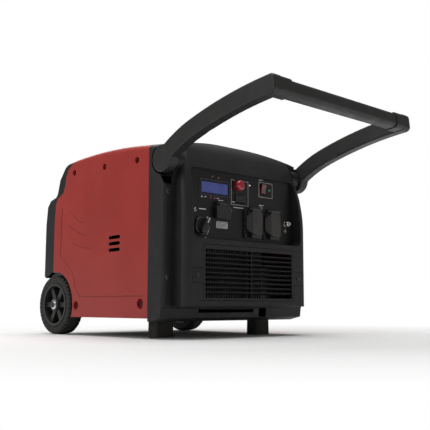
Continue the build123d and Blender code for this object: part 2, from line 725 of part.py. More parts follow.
# ---------------------------------------------------------------- control panel
panel_y = behind(panel_depth)
plate = 3.0
display = (-136, -52, 336, 361)             # x and z limits of the display window
lamps = [(-102, 376, 3.5), (-83, 374, 3.5), (24, 368, 3), (95, 363, 3),
         (-135, 325, 2), (-107, 325, 2), (-94, 325, 2)]
frames = [(-40, 19, 315, 376), (57, 107, 343, 381)]
button = (-18, 362.0)
button_radius = 13.0
rocker_size = {"eco_rocker": (-10, 331, 34, 18), "reset_rocker": (72, 364, 16, 24)}
sockets = (33.0, 99.0)
socket_z = 274.0
socket_well_radius = 19.5
socket_plate = (62.0, 74.0)
lid_radius = 31.0
lid_front_half_width = 17.0
lid_back_half_width = 28.0
lid_hinge_z = 308.0
dc_centre = (-74, 294)
dc_hinge_z = 313.0
switch_centre = (-137, 256)
switch_radius = 22.0
terminal = (156, 282)


def panel_block(x, depth, z, mode=Mode.ADD):
    """A box whose depth is counted from the front of the control panel."""
    block(x, (panel_y + depth[0], panel_y + depth[1]), z, mode=mode)


def panel_rod(x, depth, z, radius, mode=Mode.ADD):
    """A cylinder square to the control panel."""
    rod_y(x, (panel_y + depth[0], panel_y + depth[1]), z, radius, mode=mode)


with BuildPart() as control_panel:
    add(extrude(panel_opening(shell, plane_y(panel_y)), amount=-plate, mode=Mode.PRIVATE))
    through = (-5, plate + 5)
    panel_block((display[0] - 0.3, display[1] + 0.3), through, (display[2] - 0.3, display[3] + 0.3), Mode.SUBTRACT)
    for x, z, radius in lamps:
        panel_rod(x, through, z, radius, Mode.SUBTRACT)
    panel_rod(button[0], through, button[1], 10, Mode.SUBTRACT)
    for x, z, wide, high in rocker_size.values():
        panel_block((x - wide / 2 - 0.8, x + wide / 2 + 0.8), through, (z - high / 2 - 0.8, z + high / 2 + 0.8),
                    Mode.SUBTRACT)
    for x in sockets:
        panel_rod(x, through, socket_z, 24, Mode.SUBTRACT)
    panel_rod(dc_centre[0], through, dc_centre[1], 13, Mode.SUBTRACT)
    panel_rod(switch_centre[0], through, switch_centre[1], 6, Mode.SUBTRACT)
    panel_rod(terminal[0], through, terminal[1], 4.1, Mode.SUBTRACT)
save(control_panel.part, "control_panel")

with BuildPart() as lcd_display:
    panel_block((display[0], display[1]), (-0.8, plate), (display[2], display[3]))
    panel_block((display[0] - 5, display[1] + 5), (plate, plate + 8), (display[2] - 5, display[3] + 5))
save(lcd_display.part, "lcd_display")

with BuildPart() as indicator_lenses:
    for x, z, radius in lamps:
        panel_rod(x, (-0.6, plate), z, radius)
        with Locations((x, panel_y - 0.6, z)):
            Sphere(radius * 0.8)
save(indicator_lenses.part, "indicator_lenses")

with BuildPart() as panel_frames:
    for low_x, high_x, low_z, high_z in frames:
        panel_block((low_x, high_x), (-0.8, 0), (low_z, high_z))
        panel_block((low_x + 1.2, high_x - 1.2), (-2, 1), (low_z + 1.2, high_z - 1.2), Mode.SUBTRACT)
    panel_rod(button[0], (-3, 0), button[1], button_radius + 2.5)
    panel_rod(button[0], (-8, 1), button[1], button_radius + 0.3, Mode.SUBTRACT)
save(panel_frames.part, "panel_frames")

button_travel = 2.0
with BuildPart() as start_button:
    panel_rod(button[0], (-17, -button_travel - 0.5), button[1], button_radius)
    fillet(start_button.edges().sort_by(Axis.Y)[0], 8)
    panel_rod(button[0], (-button_travel - 1, 10), button[1], 6)
save(start_button.part, "start_button")

# the rockers turn on a pin, one from left to right and one up and down
rocker_pin_depth = 2.0
for name, (x, z, wide, high) in rocker_size.items():
    lying = wide > high
    along, across = max(wide, high), min(wide, high)
    half = along / 2 - 0.8
    profile = [(-half, 1), (-half, -2.5), (0, -4), (half, -7), (half, 1), (0, 6)]
    with BuildPart() as rocker:
        with BuildSketch(Plane.XY.offset(z - across / 2 + 0.6) if lying else plane_x(x - across / 2 + 0.6)):
            with BuildLine():
                if lying:
                    Polyline(*[(x + a, panel_y + depth) for a, depth in profile], close=True)
                else:
                    Polyline(*[(panel_y + depth, z + a) for a, depth in profile], close=True)
            make_face()
        extrude(amount=across - 1.2)
        if lying:
            rod_z(x, panel_y + rocker_pin_depth, (z - across / 2, z + across / 2), 1.5)
        else:
            rod_x((x - across / 2, x + across / 2), panel_y + rocker_pin_depth, z, 1.5)
    save(rocker.part, name)

# rotary engine switch: fuel, run and choke on one knob
with BuildPart() as engine_switch:
    x, z = switch_centre
    panel_rod(x, (-7, -0.4), z, switch_radius)
    fillet(engine_switch.edges().sort_by(Axis.Y)[0], 3)
    with BuildSketch(plane_y(panel_y - 7)):
        with Locations((x, z)):
            SlotOverall(2 * switch_radius - 4, 14, rotation=60)
    extrude(amount=13)
    fillet(engine_switch.faces().sort_by(Axis.Y)[0].edges(), 2.5)
    panel_rod(x, (-1, plate + 20), z, 5)
save(engine_switch.part, "engine_switch")

lid_hinge_depth = -14.0
ear_width = 7.5
with BuildPart() as socket_inserts:
    for x in sockets:
        with BuildSketch(plane_y(panel_y)):
            with Locations((x, socket_z)):
                RectangleRounded(*socket_plate, 6)
        extrude(amount=5)
        for low in (x - 22, x + 14.5):
            panel_block((low, low + ear_width), (lid_hinge_depth - 3, -4), (lid_hinge_z - 3, lid_hinge_z + 3))
            rod_x((low - 1, low + 9), panel_y + lid_hinge_depth, lid_hinge_z, 1.5, mode=Mode.SUBTRACT)
        panel_rod(x, (-1, 30), socket_z, 23.8)
        panel_rod(x, (-10, 14), socket_z, socket_well_radius, Mode.SUBTRACT)
        for pin_x in (-9.5, 9.5):
            panel_rod(x + pin_x, (10, 28), socket_z, 2.4, Mode.SUBTRACT)
save(socket_inserts.part, "socket_inserts")

for x, name in zip(sockets, ("left", "right")):
    with BuildPart() as socket_lid:
        panel_rod(x, (-20, -5.3), socket_z, lid_radius)
        with BuildSketch(Plane.XY.offset(socket_z - lid_radius)):
            with BuildLine():
                Polyline((x - lid_back_half_width, panel_y), (x - lid_back_half_width, panel_y - 9),
                         (x - lid_front_half_width, panel_y - 20), (x + lid_front_half_width, panel_y - 20),
                         (x + lid_back_half_width, panel_y - 9), (x + lid_back_half_width, panel_y), close=True)
            make_face()
        extrude(amount=2 * lid_radius, mode=Mode.INTERSECT)
        fillet(socket_lid.edges().group_by(Axis.Y)[0], 2)
        panel_block((x - 24, x + 24), (-11, -5.3), (socket_z, lid_hinge_z - 5))
        panel_block((x - 15, x + 15), (-15, -5.3), (socket_z - 36, socket_z - 20))
        rod_x((x - 14, x + 14), panel_y + lid_hinge_depth, lid_hinge_z, 4.5)
        panel_block((x - 14, x + 14), (-18, -10), (lid_hinge_z - 12, lid_hinge_z))
        panel_rod(x, (-8, 0), socket_z, socket_well_radius + 2, Mode.SUBTRACT)
        rod_x((x - 20, x + 20), panel_y + lid_hinge_depth, lid_hinge_z, hinge_pin_radius + running_gap,
              mode=Mode.SUBTRACT)
    save(socket_lid.part, f"socket_lid_{name}")

with BuildPart() as dc_outlet:
    x, z = dc_centre
    panel_block((x - 19, x + 19), (-4, 0), (z - 15, z + 14))
    panel_rod(x, (-1, 22), z, 12.8)
    panel_block((x - 10, x + 10), (-10, 14), (z - 6, z + 6), Mode.SUBTRACT)
    for low in (x - 19, x + 12):
        panel_block((low, low + 7), (-12, 0), (z + 16, dc_hinge_z + 4))
        panel_block((low, low + 7), (-3.5, 0), (z + 13, z + 17))
        rod_x((low - 1, low + 9), panel_y - 8, dc_hinge_z, 1.5, mode=Mode.SUBTRACT)
save(dc_outlet.part, "dc_outlet")

with BuildPart() as dc_cap:
    panel_block((x - 23, x + 23), (-12, -4.3), (z - 17, z + 13))
    fillet(dc_cap.edges().filter_by(Axis.Y), 4)
    panel_block((x - 11.5, x + 11.5), (-11, -5), (z + 5, dc_hinge_z - 1))
    rod_x((x - 11.5, x + 11.5), panel_y - 8, dc_hinge_z, 3.5)
    rod_x((x - 20, x + 20), panel_y - 8, dc_hinge_z, 1.5 + running_gap, mode=Mode.SUBTRACT)
save(dc_cap.part, "dc_cap")

with BuildPart() as ground_terminal:
    x, z = terminal
    panel_rod(x, (-16, 12), z, 4)
    panel_rod(x, (-2, 0), z, 7.5)
save(ground_terminal.part, "ground_terminal")

with BuildPart() as ground_nut:
    panel_rod(x, (-12, -2), z, 6.5)
    chamfer(ground_nut.edges().filter_by(GeomType.CIRCLE), 1)
    panel_rod(x, (-13, -1), z, 4 + running_gap, Mode.SUBTRACT)
save(ground_nut.part, "ground_nut")

# ---------------------------------------------------------------- screws
with BuildPart() as housing_screws:
    for side in (-1, 1):
        for depth, z in top_screws + bottom_screws:
            low = body_half_width - cup_depth + 3
            rod_x(span(side, low, low + 4), behind(depth), z, screw_head)
            rod_x(span(side, low - 14, low), behind(depth), z, screw_shank)
        for z in channel_screws:
            rod_y(side * channel_screw_x, (behind(channel_depth - 2), behind(channel_depth)), z, screw_head + 1)
            rod_y(side * channel_screw_x, (behind(channel_depth), behind(channel_depth + 14)), z, screw_shank)
        rod_y(side * tab_screw_x, (in_face(-3), in_face(0)), tab_screw_z, screw_head)
        rod_y(side * tab_screw_x, (in_face(0), in_face(16)), tab_screw_z, screw_shank)
save(housing_screws.part, "housing_screws")

# pins of the socket lids, the outlet cap and the maintenance door
with BuildPart() as hinge_pins:
    for x in sockets:
        rod_x((x - 22, x + 22), panel_y + lid_hinge_depth, lid_hinge_z, hinge_pin_radius)
    rod_x((dc_centre[0] - 19, dc_centre[0] + 19), panel_y - 8, dc_hinge_z, hinge_pin_radius)
    for z in hinge_heights:
        rod_z(hinge_x, behind(hinge_depth), (z - knuckle - 0.5, z + knuckle), hinge_pin_radius)
save(hinge_pins.part, "hinge_pins")

# ---------------------------------------------------------------- fuel system
tank_x = 195.0
tank_depths = (110.0, 376.0)
tank_heights = (330.0, 424.0)
tank_wall = 3.0
neck_top = 472.0

with BuildPart() as fuel_tank:
    add(hollow_box((-tank_x, tank_x), (behind(tank_depths[0]), behind(tank_depths[1])), tank_heights, tank_wall, 25,
                   Axis.Z))
    rod_z(0, behind(fill_depth), (tank_heights[1] - 1, neck_top), neck_radius)
    rod_z(0, behind(fill_depth), (tank_heights[1] - 10, neck_top + 5), neck_radius - 3, mode=Mode.SUBTRACT)
save(fuel_tank.part, "fuel_tank")

cap_top = 495.0
with BuildPart() as fuel_cap:
    rod_z(0, behind(fill_depth), (cap_top - 34, cap_top), 34)
    fillet(fuel_cap.edges().sort_by(Axis.Z)[-1], 4)
    rod_z(0, behind(fill_depth), (cap_top - 35, neck_top + 0.5), neck_radius + 0.5, mode=Mode.SUBTRACT)
    for turn in range(12):
        angle = radians(30 * turn)
        rod_z(36 * cos(angle), behind(fill_depth) + 36 * sin(angle), (cap_top - 35, cap_top + 1), 4, mode=Mode.SUBTRACT)
save(fuel_cap.part, "fuel_cap")

with BuildPart() as fuel_vent_lever:
    rod_z(0, behind(fill_depth), (cap_top, cap_top + 5), 9)
    block((-4, 4), (behind(fill_depth - 22), behind(fill_depth)), (cap_top + 1, cap_top + 5))
save(fuel_vent_lever.part, "fuel_vent_lever")

# ---------------------------------------------------------------- engine
shaft_radius = 10.0
with BuildPart() as engine_mounts:
    for x in (-88, 88):
        for depth in (212, 312):
            rod_z(x, behind(depth), (tray_low + tray_floor, 80), 14)
save(engine_mounts.part, "engine_mounts")

head_plane = Plane(origin=(0, behind(262), crank_z), x_dir=(0, 1, 0),
                   z_dir=(cos(radians(cylinder_tilt)), 0, sin(radians(cylinder_tilt))))
with BuildPart() as engine_block:
    block((-95, 95), (behind(engine_front), behind(engine_rear)), (92, 265))
    fillet(engine_block.edges().filter_by(Axis.Y), 25)
    block((-105, 105), (behind(engine_front + 5), behind(engine_rear - 3)), (80, 94))
    with BuildSketch(head_plane.offset(70)):
        Circle(44)
    extrude(amount=55)
    for fin in range(4):
        with BuildSketch(head_plane.offset(98 + 7 * fin)):
            RectangleRounded(104, 96, 14)
        extrude(amount=2.5)
    rod_x((90, 125), behind(222), 122, 16)
    block((-80, 80), (behind(engine_front + 10), behind(engine_rear - 10)), (104, 245), mode=Mode.SUBTRACT)
    rod_y(0, (behind(engine_front - 5), behind(engine_rear + 5)), crank_z, shaft_radius + running_gap, mode=Mode.SUBTRACT)
    rod_x((60, 130), behind(222), 122, 9, mode=Mode.SUBTRACT)
save(engine_block.part, "engine_block")

with BuildPart() as cylinder_head:
    for fin in range(4):
        with BuildSketch(head_plane.offset(125 + 9 * fin)):
            RectangleRounded(100, 92, 12)
        extrude(amount=4)
    with BuildSketch(head_plane.offset(125)):
        RectangleRounded(88, 84, 10)
    extrude(amount=35)
save(cylinder_head.part, "cylinder_head")

with BuildPart() as valve_cover:
    with BuildSketch(head_plane.offset(160)):
        RectangleRounded(84, 78, 12)
    extrude(amount=22, taper=6)
save(valve_cover.part, "valve_cover")

with BuildPart() as spark_plug:
    with BuildSketch(Plane(origin=head_plane.from_local_coords((-30, 46, 142)), z_dir=head_plane.y_dir)):
        Circle(9)
    extrude(amount=16)
    with BuildSketch(Plane(origin=head_plane.from_local_coords((-30, 62, 142)), z_dir=head_plane.y_dir)):
        Circle(6)
    extrude(amount=10)
save(spark_plug.part, "spark_plug")

with BuildPart() as crankshaft:
    rod_y(0, (behind(128), behind(engine_rear + 4)), crank_z, shaft_radius)
save(crankshaft.part, "crankshaft")

rotor_radius = 84.0
with BuildPart() as rotor_fan:
    rod_y(0, (behind(140), behind(187)), crank_z, rotor_radius)
    rod_y(0, (behind(146), behind(190)), crank_z, rotor_radius - 8, mode=Mode.SUBTRACT)
    rod_y(0, (behind(130), behind(145)), crank_z, 26)
    for blade in range(10):
        with Locations(Location((0, behind(135.5), crank_z), (0, 36 * blade, 0))):
            with Locations((52, 0, 0)):
                Box(60, 11, 3)
    rod_y(0, (behind(120), behind(200)), crank_z, shaft_radius, mode=Mode.SUBTRACT)
save(rotor_fan.part, "rotor_fan")

with BuildPart() as stator:
    rod_y(0, (behind(150), behind(engine_front)), crank_z, 72)
    rod_y(0, (behind(140), behind(200)), crank_z, 30, mode=Mode.SUBTRACT)
save(stator.part, "stator")

reel_radius = 46.0
with BuildPart() as blower_housing:
    rod_y(0, (behind(99), behind(126)), crank_z, 90)
    rod_y(0, (behind(126), behind(engine_front - 0.4)), crank_z, 99)
    rod_y(0, (behind(129), behind(200)), crank_z, 96, mode=Mode.SUBTRACT)
    rod_y(0, (behind(102), behind(130)), crank_z, 87, mode=Mode.SUBTRACT)
    for turn in range(8):
        angle = radians(45 * turn + 22.5)
        rod_y(68 * cos(angle), (behind(95), behind(105)), crank_z + 68 * sin(angle), 12, mode=Mode.SUBTRACT)
    rod_y(0, (behind(101), behind(122)), crank_z, 8)
    rod_x((60, 100), behind(starter_depth), starter_z, rope_radius + 1.5, mode=Mode.SUBTRACT)
save(blower_housing.part, "blower_housing")

with BuildPart() as recoil_reel:
    rod_y(0, (behind(107), behind(121)), crank_z, 39)
    for depth in (107, 118):
        rod_y(0, (behind(depth), behind(depth + 3)), crank_z, reel_radius)
    rod_y(0, (behind(100), behind(130)), crank_z, 8 + running_gap, mode=Mode.SUBTRACT)
save(recoil_reel.part, "recoil_reel")

with BuildPart() as recoil_rope:
    rod_x((4, pocket_floor_x + 5), behind(starter_depth), starter_z, rope_radius)
save(recoil_rope.part, "recoil_rope")

with BuildPart() as recoil_handle:
    block((pocket_floor_x + 5, pocket_floor_x + 27), (behind(starter_depth - 10), behind(starter_depth + 10)),
          (starter_z - 35, starter_z + 35))
    fillet(recoil_handle.edges(), 6)
save(recoil_handle.part, "recoil_handle")

with BuildPart() as oil_dipstick:
    rod_x((70, 126), behind(222), 122, 8.9)
    rod_x((125.3, 139), behind(222), 122, 16)
save(oil_dipstick.part, "oil_dipstick")

with BuildPart() as muffler:
    add(hollow_box((-150, 140), (behind(345), behind(455)), (170, 305), 2, 20, Axis.X))
    rod_y(exhaust_x, (behind(454), behind(543)), exhaust_z, 17)
    rod_y(exhaust_x, (behind(450), behind(545)), exhaust_z, 14, mode=Mode.SUBTRACT)
    rod_y(128.7, (behind(312), behind(346)), 245, 13)
save(muffler.part, "muffler")

with BuildPart() as air_cleaner:
    add(hollow_box((153, 212), (behind(140), behind(212)), (200, 300), 3, 10, Axis.X))
save(air_cleaner.part, "air_cleaner")

with BuildPart() as carburettor:
    block((112, 153), (behind(176), behind(205)), (224, 268))
    rod_y(128.7, (behind(205), behind(212)), 245, 14)
save(carburettor.part, "carburettor")

# ---------------------------------------------------------------- electrics
with BuildPart() as inverter_module:
    block((-135, 57), (behind(50), behind(94)), (88, 204))
    for fin in range(24):
        x = -133 + 8 * fin
        block((x, x + 2.5), (behind(10), behind(51)), (90, 202))
save(inverter_module.part, "inverter_module")

with BuildPart() as battery:
    block((72, 176), (behind(38), behind(94)), (76, 172))
    fillet(battery.edges().filter_by(Axis.Z), 4)
    for x in (88, 160):
        rod_z(x, behind(66), (172, 180), 6)
save(battery.part, "battery")
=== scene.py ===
import math

import bmesh
import bpy
from mathutils import Matrix, Vector


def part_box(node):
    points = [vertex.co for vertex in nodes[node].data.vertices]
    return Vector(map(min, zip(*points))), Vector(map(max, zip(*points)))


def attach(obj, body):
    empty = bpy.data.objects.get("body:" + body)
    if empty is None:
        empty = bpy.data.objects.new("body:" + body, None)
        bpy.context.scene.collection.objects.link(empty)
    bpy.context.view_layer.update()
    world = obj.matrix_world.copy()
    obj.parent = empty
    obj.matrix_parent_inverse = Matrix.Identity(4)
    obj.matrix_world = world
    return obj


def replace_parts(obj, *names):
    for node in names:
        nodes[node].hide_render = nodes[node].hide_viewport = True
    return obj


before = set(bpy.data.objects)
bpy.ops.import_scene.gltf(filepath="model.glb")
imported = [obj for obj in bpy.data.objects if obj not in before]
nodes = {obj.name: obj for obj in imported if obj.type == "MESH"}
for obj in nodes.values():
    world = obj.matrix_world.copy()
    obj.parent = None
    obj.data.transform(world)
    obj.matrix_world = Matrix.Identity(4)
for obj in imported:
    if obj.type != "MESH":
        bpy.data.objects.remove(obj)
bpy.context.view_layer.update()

# Everything below is in metres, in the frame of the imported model.
MM = 0.001


def centre_of(node):
    """The middle of a CAD node's box."""
    low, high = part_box(node)
    return (low + high) / 2


# ---------------------------------------------------------------- materials
def socket_link(tree, source, target):
    """Joins one node output to one node input."""
    tree.links.new(source, target)


def add_node(tree, kind, **settings):
    """A new shader node. Settings that name an input set its value; others set a property."""
    node = tree.nodes.new(kind)
    for name, value in settings.items():
        label = name.replace("_", " ")
        if label in node.inputs:
            node.inputs[label].default_value = value
        else:
            setattr(node, name, value)
    return node


def blend_colours(tree, factor, first, second):
    """A colour between two others, each a plain colour or the output of a node."""
    mix = add_node(tree, "ShaderNodeMix", data_type="RGBA")
    socket_link(tree, factor, mix.inputs["Factor"])
    for name, colour in (("A", first), ("B", second)):
        target = [i for i in mix.inputs if i.name == name and i.type == "RGBA"][0]
        if isinstance(colour, (tuple, list)):
            target.default_value = (*colour, 1.0)
        else:
            socket_link(tree, colour, target)
    return [o for o in mix.outputs if o.type == "RGBA"][0]


def remap(tree, value, low, high, new_low, new_high):
    """A value stretched from one range to another and held inside it."""
    node = add_node(tree, "ShaderNodeMapRange", From_Min=low, From_Max=high, To_Min=new_low, To_Max=new_high)
    socket_link(tree, value, node.inputs["Value"])
    return node.outputs["Result"]


def noise(tree, size, detail=3.0, stretch=(1, 1, 1)):
    """Soft noise whose features are about size metres across."""
    place = add_node(tree, "ShaderNodeTexCoord")
    squeeze = add_node(tree, "ShaderNodeMapping", Scale=stretch)
    socket_link(tree, place.outputs["Object"], squeeze.inputs["Vector"])
    texture = add_node(tree, "ShaderNodeTexNoise", Scale=1 / size, Detail=detail)
    socket_link(tree, squeeze.outputs["Vector"], texture.inputs["Vector"])
    return texture.outputs["Fac"]


def pebbles(tree, size):
    """Small rounded cells, such as the grain of a moulded surface."""
    place = add_node(tree, "ShaderNodeTexCoord")
    texture = add_node(tree, "ShaderNodeTexVoronoi", Scale=1 / size, Randomness=1.0)
    socket_link(tree, place.outputs["Object"], texture.inputs["Vector"])
    return texture.outputs["Distance"]


NOISE_BAND = (0.3, 0.7)              # most of the values of a noise lie in here
EDGE_BAND = (0.995, 0.8)             # agreement of rounded and flat normal, away from an edge and on it
SCUFF_SIZE, SCUFF_BAND = 0.004, (0.45, 0.7)


def drifting(tree, size, detail=3.0, stretch=(1, 1, 1), ends=(0, 1)):
    """Soft noise spread out to run from one end to the other."""
    return remap(tree, noise(tree, size, detail, stretch), *NOISE_BAND, *ends)


def edge_wear(tree, radius):
    """Two outputs: the normal with its edges rounded, and how near an edge a point is, from 0 to 1."""
    rounded = add_node(tree, "ShaderNodeBevel", samples=6, Radius=radius)
    flat = add_node(tree, "ShaderNodeNewGeometry")
    dot = add_node(tree, "ShaderNodeVectorMath", operation="DOT_PRODUCT")
    socket_link(tree, rounded.outputs["Normal"], dot.inputs[0])
    socket_link(tree, flat.outputs["Normal"], dot.inputs[1])
    return rounded.outputs["Normal"], remap(tree, dot.outputs["Value"], *EDGE_BAND, 0, 1)


def finish(name, tones, roughness, relief, cloud=0.06, wear=None, edge=0.0009, stretch=(1, 1, 1), **plain):
    """A finish with drifting tone, uneven gloss, fine relief and rounded edges with slight wear.
    tones are two close colours, roughness its two ends, relief (size, height in metres, pebbled)."""
    material = bpy.data.materials.new(name)
    material.use_nodes = True
    tree = material.node_tree
    shader = tree.nodes["Principled BSDF"]
    for key, value in plain.items():
        shader.inputs[key.replace("_", " ")].default_value = value
    normal, near_edge = edge_wear(tree, edge)
    colour = blend_colours(tree, drifting(tree, cloud, 4.0, stretch), *tones)
    if wear:
        scuffs = remap(tree, noise(tree, SCUFF_SIZE, 6.0), *SCUFF_BAND, 0, 1)
        both = add_node(tree, "ShaderNodeMath", operation="MULTIPLY")
        socket_link(tree, scuffs, both.inputs[0])
        socket_link(tree, near_edge, both.inputs[1])
        colour = blend_colours(tree, both.outputs["Value"], colour, wear)
    socket_link(tree, colour, shader.inputs["Base Color"])
    socket_link(tree, drifting(tree, cloud / 3, 5.0, stretch, roughness), shader.inputs["Roughness"])
    size, height, pebbled = relief
    grain = pebbles(tree, size) if pebbled else noise(tree, size, 2.0, stretch)
    bump = add_node(tree, "ShaderNodeBump", Strength=1.0, Distance=height)
    socket_link(tree, grain, bump.inputs["Height"])
    socket_link(tree, normal, bump.inputs["Normal"])
    socket_link(tree, bump.outputs["Normal"], shader.inputs["Normal"])
    return material


GRAIN = (0.0011, 0.00006, True)      # moulded leather-like grain of the black covers
FINE = (0.0006, 0.00002, True)       # finer grain of small parts
PEEL = (0.004, 0.00003, False)       # orange peel of glossy mouldings
SMOOTH = (0.002, 0.00001, False)     # clear plastic of the lamps
POLISHED = (0.0008, 0.00001, False)  # bright metal
ALONG_X = (0.05, 1, 1)               # draws the features of a noise out along X, as on drawn tube
LAMP = {"cloud": 0.003, "edge": 0.0004, "Coat_Weight": 0.6, "Coat_Roughness": 0.05}

black_housing = finish("black_housing", [(0.0078, 0.0079, 0.0081), (0.013, 0.0131, 0.0132)], (0.42, 0.56),
                       GRAIN, wear=(0.06, 0.06, 0.06), Specular_IOR_Level=0.33)
panel_black = finish("panel_black", [(0.0055, 0.0055, 0.0058), (0.0085, 0.0085, 0.0088)], (0.34, 0.46), FINE,
                     wear=(0.05, 0.05, 0.05), Specular_IOR_Level=0.33)
grip_black = finish("grip_black", [(0.009, 0.0088, 0.0087), (0.015, 0.0145, 0.014)], (0.4, 0.55), GRAIN,
                    wear=(0.07, 0.065, 0.06), Specular_IOR_Level=0.42)
red_cover = finish("red_cover", [(0.290, 0.020, 0.0145), (0.340, 0.026, 0.020)], (0.3, 0.42), PEEL,
                   cloud=0.15, wear=(0.36, 0.08, 0.06), edge=0.0012, Coat_Weight=0.06, Coat_Roughness=0.3,
                   Specular_IOR_Level=0.4)
rubber = finish("rubber", [(0.016, 0.015, 0.014), (0.03, 0.028, 0.025)], (0.65, 0.85), GRAIN, cloud=0.02,
                wear=(0.08, 0.075, 0.07))
tyre_rubber = finish("tyre_rubber", [(0.009, 0.0085, 0.0075), (0.016, 0.015, 0.0125)], (0.65, 0.85),
                     (0.0016, 0.00008, True), cloud=0.03, wear=(0.05, 0.045, 0.04))
wheel_plastic = finish("wheel_plastic", [(0.014, 0.0135, 0.013), (0.022, 0.021, 0.020)], (0.4, 0.55), GRAIN,
                       wear=(0.1, 0.1, 0.1))
dark_gloss = finish("dark_gloss", [(0.011, 0.011, 0.0115), (0.017, 0.017, 0.018)], (0.22, 0.34), FINE,
                    wear=(0.045, 0.045, 0.045))
red_gloss = finish("red_gloss", [(0.26, 0.004, 0.012), (0.35, 0.008, 0.020)], (0.12, 0.2), PEEL, cloud=0.01,
                   Coat_Weight=0.6, Coat_Roughness=0.05)
red_dark = finish("red_dark", [(0.075, 0.004, 0.006), (0.11, 0.006, 0.009)], (0.16, 0.26), PEEL, cloud=0.01,
                  Coat_Weight=0.4, Coat_Roughness=0.08)
zinc = finish("zinc", [(0.34, 0.34, 0.34), (0.46, 0.46, 0.47)], (0.28, 0.45), (0.0012, 0.00002, False),
              cloud=0.01, stretch=ALONG_X, Metallic=1.0)
chrome = finish("chrome", [(0.62, 0.62, 0.63), (0.74, 0.74, 0.75)], (0.12, 0.24), POLISHED, cloud=0.01,
                Metallic=1.0)
black_zinc = finish("black_zinc", [(0.05, 0.05, 0.052), (0.09, 0.09, 0.093)], (0.3, 0.45),
                    (0.0008, 0.00002, False), cloud=0.006, wear=(0.5, 0.5, 0.5), Metallic=1.0)
bright_steel = finish("bright_steel", [(0.55, 0.55, 0.55), (0.68, 0.68, 0.69)], (0.16, 0.3), POLISHED,
                      cloud=0.008, Metallic=1.0)
aluminium = finish("aluminium", [(0.42, 0.42, 0.43), (0.55, 0.55, 0.56)], (0.42, 0.6),
                   (0.0007, 0.00004, True), cloud=0.02, Metallic=1.0)
cast_iron = finish("cast_iron", [(0.09, 0.085, 0.08), (0.16, 0.15, 0.14)], (0.5, 0.75),
                   (0.0013, 0.00012, True), cloud=0.02, Metallic=1.0)
heat_paint = finish("heat_paint", [(0.05, 0.045, 0.042), (0.12, 0.09, 0.07)], (0.5, 0.8),
                    (0.0012, 0.00008, True), cloud=0.05, Metallic=0.6)
tank_plastic = finish("tank_plastic", [(0.035, 0.035, 0.036), (0.06, 0.06, 0.06)], (0.45, 0.6), PEEL)
ink = finish("ink", [(0.66, 0.63, 0.64), (0.78, 0.75, 0.76)], (0.5, 0.65), (0.0005, 0.00001, False),
             cloud=0.006, edge=0.0001)
label_film = finish("label_film", [(0.40, 0.39, 0.39), (0.50, 0.49, 0.49)], (0.25, 0.4),
                    (0.003, 0.00001, False), cloud=0.01, edge=0.0002)
trim_print = finish("trim_print", [(0.33, 0.27, 0.29), (0.43, 0.37, 0.38)], (0.4, 0.55), FINE, cloud=0.01,
                    edge=0.0003)
lens = finish("lens", [(0.72, 0.66, 0.67), (0.84, 0.80, 0.80)], (0.15, 0.25), SMOOTH, cloud=0.003,
              edge=0.0004, Coat_Weight=0.5, Coat_Roughness=0.05)
lamp_amber = finish("lamp_amber", [(0.10, 0.022, 0.014), (0.15, 0.035, 0.02)], (0.15, 0.25), SMOOTH, **LAMP)
lamp_red = finish("lamp_red", [(0.45, 0.05, 0.06), (0.60, 0.10, 0.10)], (0.15, 0.25), SMOOTH, **LAMP)
lamp_green = finish("lamp_green", [(0.05, 0.30, 0.14), (0.10, 0.42, 0.22)], (0.15, 0.25), SMOOTH, **LAMP)
bezel_grey = finish("bezel_grey", [(0.035, 0.040, 0.085), (0.050, 0.056, 0.11)], (0.3, 0.4), FINE, cloud=0.01,
                    edge=0.0003)


CELL_PITCHES = (("X", 0.0021), ("Z", 0.0024))
CELL_GAP = 0.12                      # share of the pitch over which the line between two cells fades
CELL_TONES, LINE_TONE = ((0.034, 0.048, 0.19), (0.046, 0.062, 0.24)), (0.026, 0.035, 0.15)


def display_finish():
    """A blue-violet liquid crystal window: a fine cell grid under glossy glass."""
    material = bpy.data.materials.new("display")
    material.use_nodes = True
    tree = material.node_tree
    shader = tree.nodes["Principled BSDF"]
    shader.inputs["Roughness"].default_value = 0.12
    shader.inputs["Coat Weight"].default_value = 0.8
    shader.inputs["Coat Roughness"].default_value = 0.04
    place = add_node(tree, "ShaderNodeTexCoord")
    axes = add_node(tree, "ShaderNodeSeparateXYZ")
    socket_link(tree, place.outputs["Object"], axes.inputs["Vector"])
    lines = []
    for axis, pitch in CELL_PITCHES:
        wave = add_node(tree, "ShaderNodeMath", operation="PINGPONG")
        wave.inputs[1].default_value = pitch / 2
        socket_link(tree, axes.outputs[axis], wave.inputs[0])
        lines.append(remap(tree, wave.outputs["Value"], 0, pitch * CELL_GAP, 0, 1))
    cell = add_node(tree, "ShaderNodeMath", operation="MULTIPLY")
    socket_link(tree, lines[0], cell.inputs[0])
    socket_link(tree, lines[1], cell.inputs[1])
    lit = blend_colours(tree, drifting(tree, 0.03), *CELL_TONES)
    colour = blend_colours(tree, cell.outputs["Value"], LINE_TONE, lit)
    socket_link(tree, colour, shader.inputs["Base Color"])
    socket_link(tree, colour, shader.inputs["Emission Color"])
    shader.inputs["Emission Strength"].default_value = 0.25
    return material


def rope_finish():
    """Cord: diagonal bands of two tones over a pebbled relief."""
    material = finish("rope", [(0.03, 0.03, 0.03), (0.07, 0.07, 0.07)], (0.8, 0.95), (0.0008, 0.0002, True),
                      cloud=0.003)
    tree = material.node_tree
    shader = tree.nodes["Principled BSDF"]
    place = add_node(tree, "ShaderNodeTexCoord")
    wave = add_node(tree, "ShaderNodeTexWave", Scale=180.0, Distortion=1.5, bands_direction="DIAGONAL")
    socket_link(tree, place.outputs["Object"], wave.inputs["Vector"])
    colour = blend_colours(tree, wave.outputs["Fac"], (0.025, 0.025, 0.025), (0.11, 0.11, 0.10))
    socket_link(tree, colour, shader.inputs["Base Color"])
    return material


